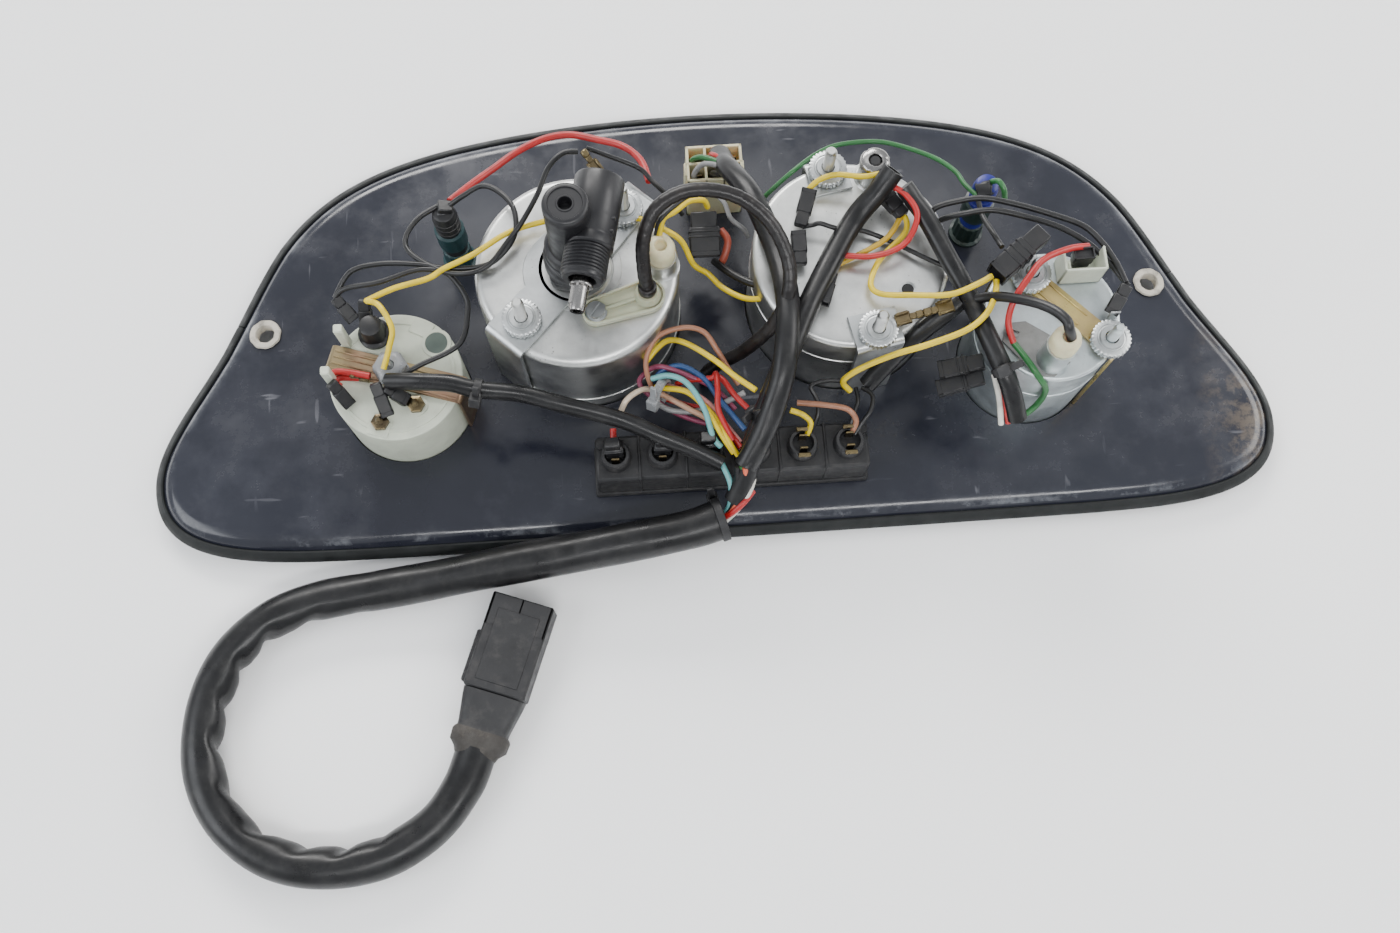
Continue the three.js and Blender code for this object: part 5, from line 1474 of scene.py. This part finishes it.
# The thin wires, from left to right. Name: (colour, radius, points).
WIRES = {
    "clock_yellow_1": ("yellow", 1.2, [
        (-141, -4, 56), (-129, -1, 60), (-115, 1, 63), (-108, 4, 65), (-96, 8, 68), (-82, 16, 69),
        (-68, 20, 69), (-53, 22, 68), (-37, 21, 67), (-29, 19.5, 68), (-22.5, 16, 68),
        (-13, 12, 62), (-8, 5.5, 52), (-2, 3, 47), (3.5, -3, 46), (12, -10, 50), (20, -13, 56),
        (24, -15, 62)]),
    "clock_yellow_2": ("yellow", 1.2, [
        (-141, -4, 56), (-135, -8, 60), (-130, -18, 60), (-132, -25, 56), (-135, -32, 52)]),
    "clock_black_1": ("black", 1.1, [
        (-154, -1, 54), (-147, 8, 58), (-135, 10, 60), (-119, 8, 62), (-107, 5, 63), (-94, 3.5, 66),
        (-86, 6, 68), (-79, 14.5, 70), (-79, 26, 70), (-85, 35, 68), (-92, 39, 66), (-100, 36, 64),
        (-107.5, 33, 60)]),
    "clock_black_2": ("black", 1.1, [
        (-154, -1, 54), (-149, 1.5, 57), (-135, 2, 60), (-122, 5, 62), (-114.5, 5, 63),
        (-107, 3, 62), (-101, -5, 60), (-100, -12, 58), (-104, -25, 56), (-120, -33, 56),
        (-128, -37, 55), (-134.5, -41, 52)]),
    "clock_black_3": ("black", 1.1, [
        (-111, 34, 60), (-119, 29, 60), (-124, 21, 60), (-122, 13.5, 61), (-111, 5, 63),
        (-100, 1, 66), (-90, 3, 68), (-81, 13, 70), (-76, 18.5, 72), (-69, 29, 75), (-64, 39.5, 77),
        (-58, 45, 78), (-52, 46, 77)]),
    "clock_red_1": ("red", 1.4, [(-141, -34, 50), (-149, -32, 50), (-155, -31, 49), (-157, -34, 49),
                                 (-154, -36, 50)]),
    "clock_red_2": ("red", 1.4, [(-142, -34, 47), (-150, -33, 47), (-154, -33, 47), (-156, -35, 48),
                                 (-153, -37, 48)]),
    "pilot_red": ("red", 1.5, [
        (-106, 36, 60), (-97.5, 46.5, 54), (-89, 55, 50), (-78, 64, 48), (-66.5, 69, 48),
        (-56, 70, 48), (-45, 66, 50), (-34, 61, 52), (-27, 52, 56), (-24, 40, 60)]),
    "speedo_black": ("black", 1.0, [
        (-48.5, 48, 76), (-41, 45.5, 74), (-28, 41, 70), (-23, 36, 68), (-17, 32, 62),
        (-11, 27, 54)]),
    "bundle_brown": ("brown", 1.1, [
        (-23, -46, 37), (-27.5, -44.5, 42), (-30, -38, 48), (-29, -32, 52), (-24, -26, 55),
        (-14, -24, 57), (-6, -26, 56), (-1, -33, 53), (3, -39, 48), (7, -45, 44)]),
    "bundle_yellow_1": ("yellow", 1.2, [
        (-30, -33, 44), (-25, -28, 46), (-20, -26, 49), (-13, -29, 52), (-3, -37, 54), (5, -45, 55),
        (13, -52, 56)]),
    "bundle_teal": ("teal", 1.2, [
        (-28, -41, 46), (-21, -41.5, 50), (-14, -46, 52), (-8, -56, 50), (-5, -67, 46),
        (-2, -71, 44)]),
    "bundle_magenta_1": ("magenta", 1.1, [(-30, -36, 42), (-24, -36, 46), (-14, -41, 48),
                                          (-3, -46, 44), (5, -55, 42)]),
    "bundle_magenta_2": ("magenta", 1.1, [
        (-30, -36, 40), (-33, -39, 40), (-32, -43, 40), (-24.5, -50, 39), (-16.5, -55, 38),
        (-7, -59, 38)]),
    "bundle_blue": ("blue", 1.2, [
        (-29, -43, 42), (-24, -38, 45), (-16, -37, 48), (-7, -43, 48), (-1, -52, 46),
        (8, -65, 46)]),
    "bundle_red_1": ("red", 1.2, [
        (-18, -42.5, 42), (-13, -42.5, 46), (-4, -43, 48), (-2, -42, 50), (-2, -50, 52),
        (-2, -58, 50), (3, -69, 46)]),
    "bundle_red_2": ("red", 1.2, [(-2, -41, 46), (1, -44.5, 48), (5, -51, 48), (11, -59, 50)]),
    "bundle_red_3": ("red", 1.2, [(-23.5, -46.5, 37), (-16, -50, 38), (-7, -54, 40), (1, -63.5, 42),
                                  (6, -72, 44)]),
    "bundle_tan": ("tan", 1.2, [(-26, -45, 40), (-23, -47, 41), (-13, -54, 42), (-7, -58, 42),
                                (0, -65, 42)]),
    "bundle_beige": ("beige", 1.2, [(-43, -57, 38), (-41, -52, 42), (-38, -48, 44), (-32, -44, 42),
                                    (-27, -44, 40)]),
    "bundle_yellow_2": ("yellow", 1.2, [
        (-27, -44, 44), (-23, -45, 45), (-14, -48, 47), (-7, -56, 48), (-1, -67.5, 46),
        (3, -74, 44)]),
    "bundle_yellow_3": ("yellow", 1.1, [(-9, -51.5, 44), (-3, -60, 46), (2, -71, 46),
                                        (4.5, -75, 44)]),
    "bundle_pink": ("pink", 1.1, [(-22, -43, 42), (-13, -47, 44), (-6, -52, 44), (0, -60, 42),
                                  (6, -69, 42)]),
    "bundle_grey": ("grey", 1.2, [(-27, -49, 40), (-21, -53, 40), (-11, -54, 40), (-1, -53, 44),
                                  (9, -50, 48)]),
    "lamp_red": ("red", 1.3, [(-45, -59, 39), (-45, -63.5, 38), (-44, -68, 37)]),
    "lamp_brown": ("brown", 1.2, [(30, -55, 46), (41, -57, 47), (50, -59, 46), (53.5, -63, 43),
                                  (52, -67, 40)]),
    "lamp_yellow": ("yellow", 1.2, [(27, -58, 46), (32, -60, 45), (35, -63, 43), (33.5, -67, 40)]),
    "lamp_black_1": ("black", 0.9, [
        (51, -48, 48), (43, -47, 48), (36, -49, 48), (38, -54, 46), (38, -60.5, 44),
        (35, -65, 40)]),
    "lamp_black_2": ("black", 0.9, [(57.5, -49, 42), (61, -53, 44), (60, -59, 44), (56, -64, 42),
                                    (53, -68, 40)]),
    "lamp_black_3": ("black", 0.9, [(55, -49, 42), (55, -55, 44), (53, -60, 43), (51, -66, 40)]),
    "mouth_red": ("red", 1.3, [(10, -88, 36), (6, -92.5, 36.5), (1.5, -95.5, 33), (-3, -97, 29)]),
    "mouth_orange": ("orange", 1.3, [(7, -81, 47), (7, -87, 40), (3, -93, 34), (-2, -96.5, 28.5)]),
    "mouth_teal": ("teal", 1.2, [(-2, -77, 41), (1, -85, 38), (0.5, -92, 33), (-3, -96, 27)]),
    "mouth_white": ("white", 1.2, [(9, -76, 45), (10, -85, 41), (5, -93, 35), (-2, -98, 28)]),
    "mouth_black": ("black", 1.3, [(4, -80, 45), (3.5, -88, 38), (-0.5, -95, 30), (-4, -98.5, 26)]),
    "mouth_green": ("green", 1.1, [(5.5, -80, 46), (8, -86, 40), (6.5, -91, 36), (0, -97, 29)]),
    "tacho_yellow_1": ("yellow", 1.25, [
        (108, -21, 80), (106.5, -28, 80), (102, -35, 79), (94, -40, 77), (80, -43, 72),
        (68, -44, 66), (57, -46, 60), (50, -48, 54), (49, -49, 49), (52, -51, 45)]),
    "tacho_yellow_2": ("yellow", 1.2, [(39, 26, 71), (44, 29, 74), (51, 30, 76), (61, 28, 77),
                                       (69, 27.5, 80)]),
    "tacho_red": ("red", 1.25, [
        (72, 22, 79), (77, 18, 79), (81, 10, 77), (77, 1, 74), (69.5, -3, 72), (60, -4, 71),
        (49, -2, 70)]),
    "tacho_ochre": ("ochre", 1.2, [(76, 13, 70), (72, 7, 70), (67.5, 3, 69), (59, -1, 68),
                                   (49, -5, 67)]),
    "tacho_yellow_3": ("yellow", 1.2, [
        (77.5, 13, 70), (78, 9, 70), (76, 5, 69), (67, -3, 68), (63, -9, 68), (61, -16, 69),
        (65, -20, 70), (77, -22, 72), (90, -25, 78), (100, -23, 82), (106, -20, 82)]),
    "tacho_black": ("black", 1.0, [
        (36, 11, 70), (40, 11, 71), (43, 11, 72), (49.5, 9, 71), (60.5, 8.5, 68), (72.5, 3, 67),
        (88, -7, 68), (99, -11, 66)]),
    "pilot_green": ("green", 1.0, [
        (22.5, 33, 52), (30, 38, 56), (37, 42, 60), (46, 50, 56), (56, 56, 52), (70, 58, 50),
        (81, 56, 50), (96, 48, 52), (104, 40, 54), (107, 32.5, 56), (111, 26, 58)]),
    "pilot_black": ("black", 1.1, [(111, 26, 58), (112, 17, 58), (114, 8, 62), (116, -1, 66)]),
    "pilot_green_2": ("green", 1.2, [(117, 31, 60), (119, 29, 64), (121, 25.5, 63),
                                     (122, 22.5, 58)]),
    "right_black_1": ("black", 1.2, [
        (89, 15, 66), (91, 17, 68), (98, 18, 70), (109, 18, 72), (122, 14, 73), (136, 8, 74),
        (147, 2, 75), (153, -6, 76), (157, -15.5, 77), (159.5, -24, 77)]),
    "right_black_2": ("black", 1.2, [
        (91, 13, 62), (94.5, 13, 66), (101, 13, 69), (112.5, 13, 71), (125, 9, 72), (138, 3, 73),
        (148, -5, 74), (155, -14.5, 75), (160.5, -25, 76)]),
    "volt_red": ("red", 1.3, [
        (146, -9, 80), (137, -11, 83), (126, -16, 86), (120, -22, 86), (113, -31, 83),
        (111, -38, 78), (113, -45, 74)]),
    "volt_green": ("green", 1.3, [
        (113, -45, 74), (117, -50, 72), (121.5, -57, 70), (126.5, -61, 62), (127, -62, 46),
        (123, -64, 38)]),
    "volt_lead": ("black", 2.0, [
        (101, -26, 74), (105, -27, 78), (110, -30, 84), (118, -36, 92), (123.5, -41, 96),
        (127, -46, 98), (128, -49, 97), (130, -51, 92)]),
    "right_white": ("white", 1.2, [(108, -52, 58), (109, -56, 56), (111, -60, 50),
                                   (113, -67.5, 40)]),
    "right_red": ("red", 1.3, [(109, -52, 57), (112, -57, 54), (114, -62, 48), (116, -67, 40)]),
    "hazard_pink": ("pink", 1.0, [(18, 35, 58), (21.5, 32, 58), (23, 29, 55)]),
    "hazard_grey": ("grey", 1.0, [(4, 38, 48), (7, 33, 50), (9, 26, 50), (14, 22, 48),
                                  (16, 20, 44)]),
    "hazard_rust": ("rust", 1.6, [(4.5, 21, 50), (7, 16, 50), (5, 10, 46), (3, 9, 42)]),
    "hazard_black_1": ("black", 1.6, [(1, 10, 44), (7, 2.5, 48), (15.5, -4.5, 52), (23, -7, 56)]),
    "hazard_yellow": ("yellow", 1.2, [
        (-22, 4, 80), (-21, 7, 84), (-19.5, 10, 87), (-15, 13, 86), (-9, 20, 80), (-3, 25, 70),
        (-1, 26, 62)]),
    "hazard_black_2": ("black", 1.0, [
        (-23, 5, 80), (-22, 8, 85), (-20, 10, 88), (-16, 14, 87), (-10, 21, 81), (-4, 26, 71),
        (-2, 28, 62)]),
    "switch_green": ("green", 1.2, [(-4, 58, 36), (-5, 57, 44), (-2, 55, 50), (3, 52, 53),
                                    (8, 48, 55)]),
    "switch_grey": ("grey", 1.2, [(-4.5, 50, 36), (-4.5, 50, 45), (-1, 51, 51), (4, 49, 54),
                                  (9, 45, 57)]),
    "switch_red": ("red", 1.3, [(3, 58, 36), (3, 58, 45), (4, 55, 51), (7, 51, 54)]),
    "switch_black": ("black", 1.3, [(3, 50, 36), (3, 50, 44), (5, 47, 50), (9, 43, 56)]),
    "switch_orange": ("orange", 1.2, [(11, 58, 36), (11, 57.5, 45), (10, 54, 51), (10, 49, 55)]),
}
for name, (colour, radius, points) in WIRES.items():
    wire("wire_" + name, colour, radius, points)


def make_connectors():
    bm = bmesh.new()
    rubber_shoe(bm, (-2.6, 26, 57), (-2.8, 9, 51), 12.5, 8.5, ribs=2)
    rubber_shoe(bm, (35, 11, 70.5), (40, 26, 71.5), 6.2, 4.6)
    rubber_shoe(bm, (34, -5, 69), (34, 9, 69.5), 6.0, 4.6)
    rubber_shoe(bm, (77, 13, 70.5), (71, 21.5, 71), 6.4, 4.8)
    rubber_shoe(bm, (46, -9, 68.5), (41, -22, 69), 6.0, 4.4)
    rubber_shoe(bm, (128, -3.5, 82.5), (107.5, -19.8, 82.5), 8.8, 7.5, ribs=3)
    rubber_shoe(bm, (104, -47.5, 61), (87, -48.5, 55), 7.5, 5.0, ribs=2)
    rubber_shoe(bm, (104, -53, 58), (86, -55, 52), 6.5, 4.8, ribs=1)
    rubber_shoe(bm, (160, -25, 77), (153.5, -34.5, 71.5), 5.6, 4.0)
    rubber_shoe(bm, (144, -12.5, 72), (143.5, -12.5, 82), 8.0, 5.0, (0, 1, 0))
    rubber_shoe(bm, (-107.5, 33.5, 62), (-109, 32, 55), 7.0, 6.4, (0, 1, 0))
    rubber_shoe(bm, (113, 27, 61.5), (115.6, 30.5, 55), 7.0, 6.4, (0, 1, 0))
    finish_mesh("connectors", bm, BLACK)
    bm = bmesh.new()
    blade_terminal(bm, (92, -27, 72), (80, -29.5, 71), 5.6)
    blade_terminal(bm, (69, -31.5, 69.8), (80, -29.4, 71), 5.2)
    blade_terminal(bm, (-36, 32.5, 70.5), (-44, 37.5, 73), 6.0)
    blade_terminal(bm, (-43.5, 37.5, 73), (-50, 46, 78), 4.8)
    finish_mesh("ring_terminals", bm, BRASS)
    black_ties = [((108.6, -55, 71.6), (5, -13, -4), 3.9, 0.4),
                  ((-3.6, -96.8, 26.9), (-11, -3, -0.6), 8.2, 1.9),
                  ((16.2, -61, 59.6), (4, -9, -5), 4.5, 2.4),
                  ((-97, -45, 57), (11, -2.4, -1), 3.5, 1.2)]
    grey_ties = [((-24.5, -46, 43), (9, -5, 2), 5.0, 1.2)]
    for name, material, spots in (("tie_black", DUSTY_BLACK, black_ties),
                                  ("tie_grey", NYLON, grey_ties)):
        bm = bmesh.new()
        for centre, along, inner, turn in spots:
            band(bm, centre, along, inner, turn)
        finish_mesh(name, bm, material)


make_connectors()


# ---- floor and light -------------------------------------------------------------------------
def make_floor():
    n = Nodes("floor")
    tone = n.mix(n.ramp(n.noise(5, 4), 0.3, 0.7), (0.955, 0.955, 0.955), (0.975, 0.975, 0.972))
    n.bump(n.noise(900, 3), 0.05, 0.0002)
    n.done(tone, 0.7)
    bm = bmesh.new()
    corners = [bm.verts.new(Vector((sx * FLOOR_HALF, sy * FLOOR_HALF, 0)) * MM)
               for sx, sy in ((-1, -1), (1, -1), (1, 1), (-1, 1))]
    bm.faces.new(corners)
    data = bpy.data.meshes.new("floor")
    bm.to_mesh(data)
    bm.free()
    data.materials.append(n.material)
    floor = show("floor", data)
    floor.location.z = -FLOOR_DROP * MM


def add_light(name, at, target, size, power, colour=(1, 1, 1)):
    data = bpy.data.lights.new(name, "AREA")
    data.shape = "RECTANGLE"
    data.size, data.size_y = size
    data.energy = power
    data.color = colour
    lamp = show(name, data)
    lamp.matrix_world = place(Vector(at), Vector(at) - Vector(target), (1, 0, 0))


make_floor()
add_light("key", (-0.35, 1.60, 1.10), (0, 0, 0.03), (1.4, 0.5), 40, (1.0, 0.985, 0.96))
add_light("fill", (-1.1, -0.35, 0.85), (0, 0, 0.02), (0.8, 0.9), 10, (0.93, 0.96, 1.0))
add_light("rim", (1.15, 0.15, 0.8), (0.05, 0, 0.03), (0.6, 0.9), 11, (1.0, 0.99, 0.97))
add_light("top", (0.05, 0.62, 1.20), (0, 0, 0.03), (0.8, 0.30), 1.6)
add_light("low", (0.15, -0.80, 1.05), (0, -0.08, 0.01), (1.0, 0.16), 9)
world = bpy.data.worlds.new("studio")
world.use_nodes = True
world.node_tree.nodes["Background"].inputs["Color"].default_value = (0.86, 0.89, 0.93, 1)
world.node_tree.nodes["Background"].inputs["Strength"].default_value = 0.85
bpy.context.scene.world = world
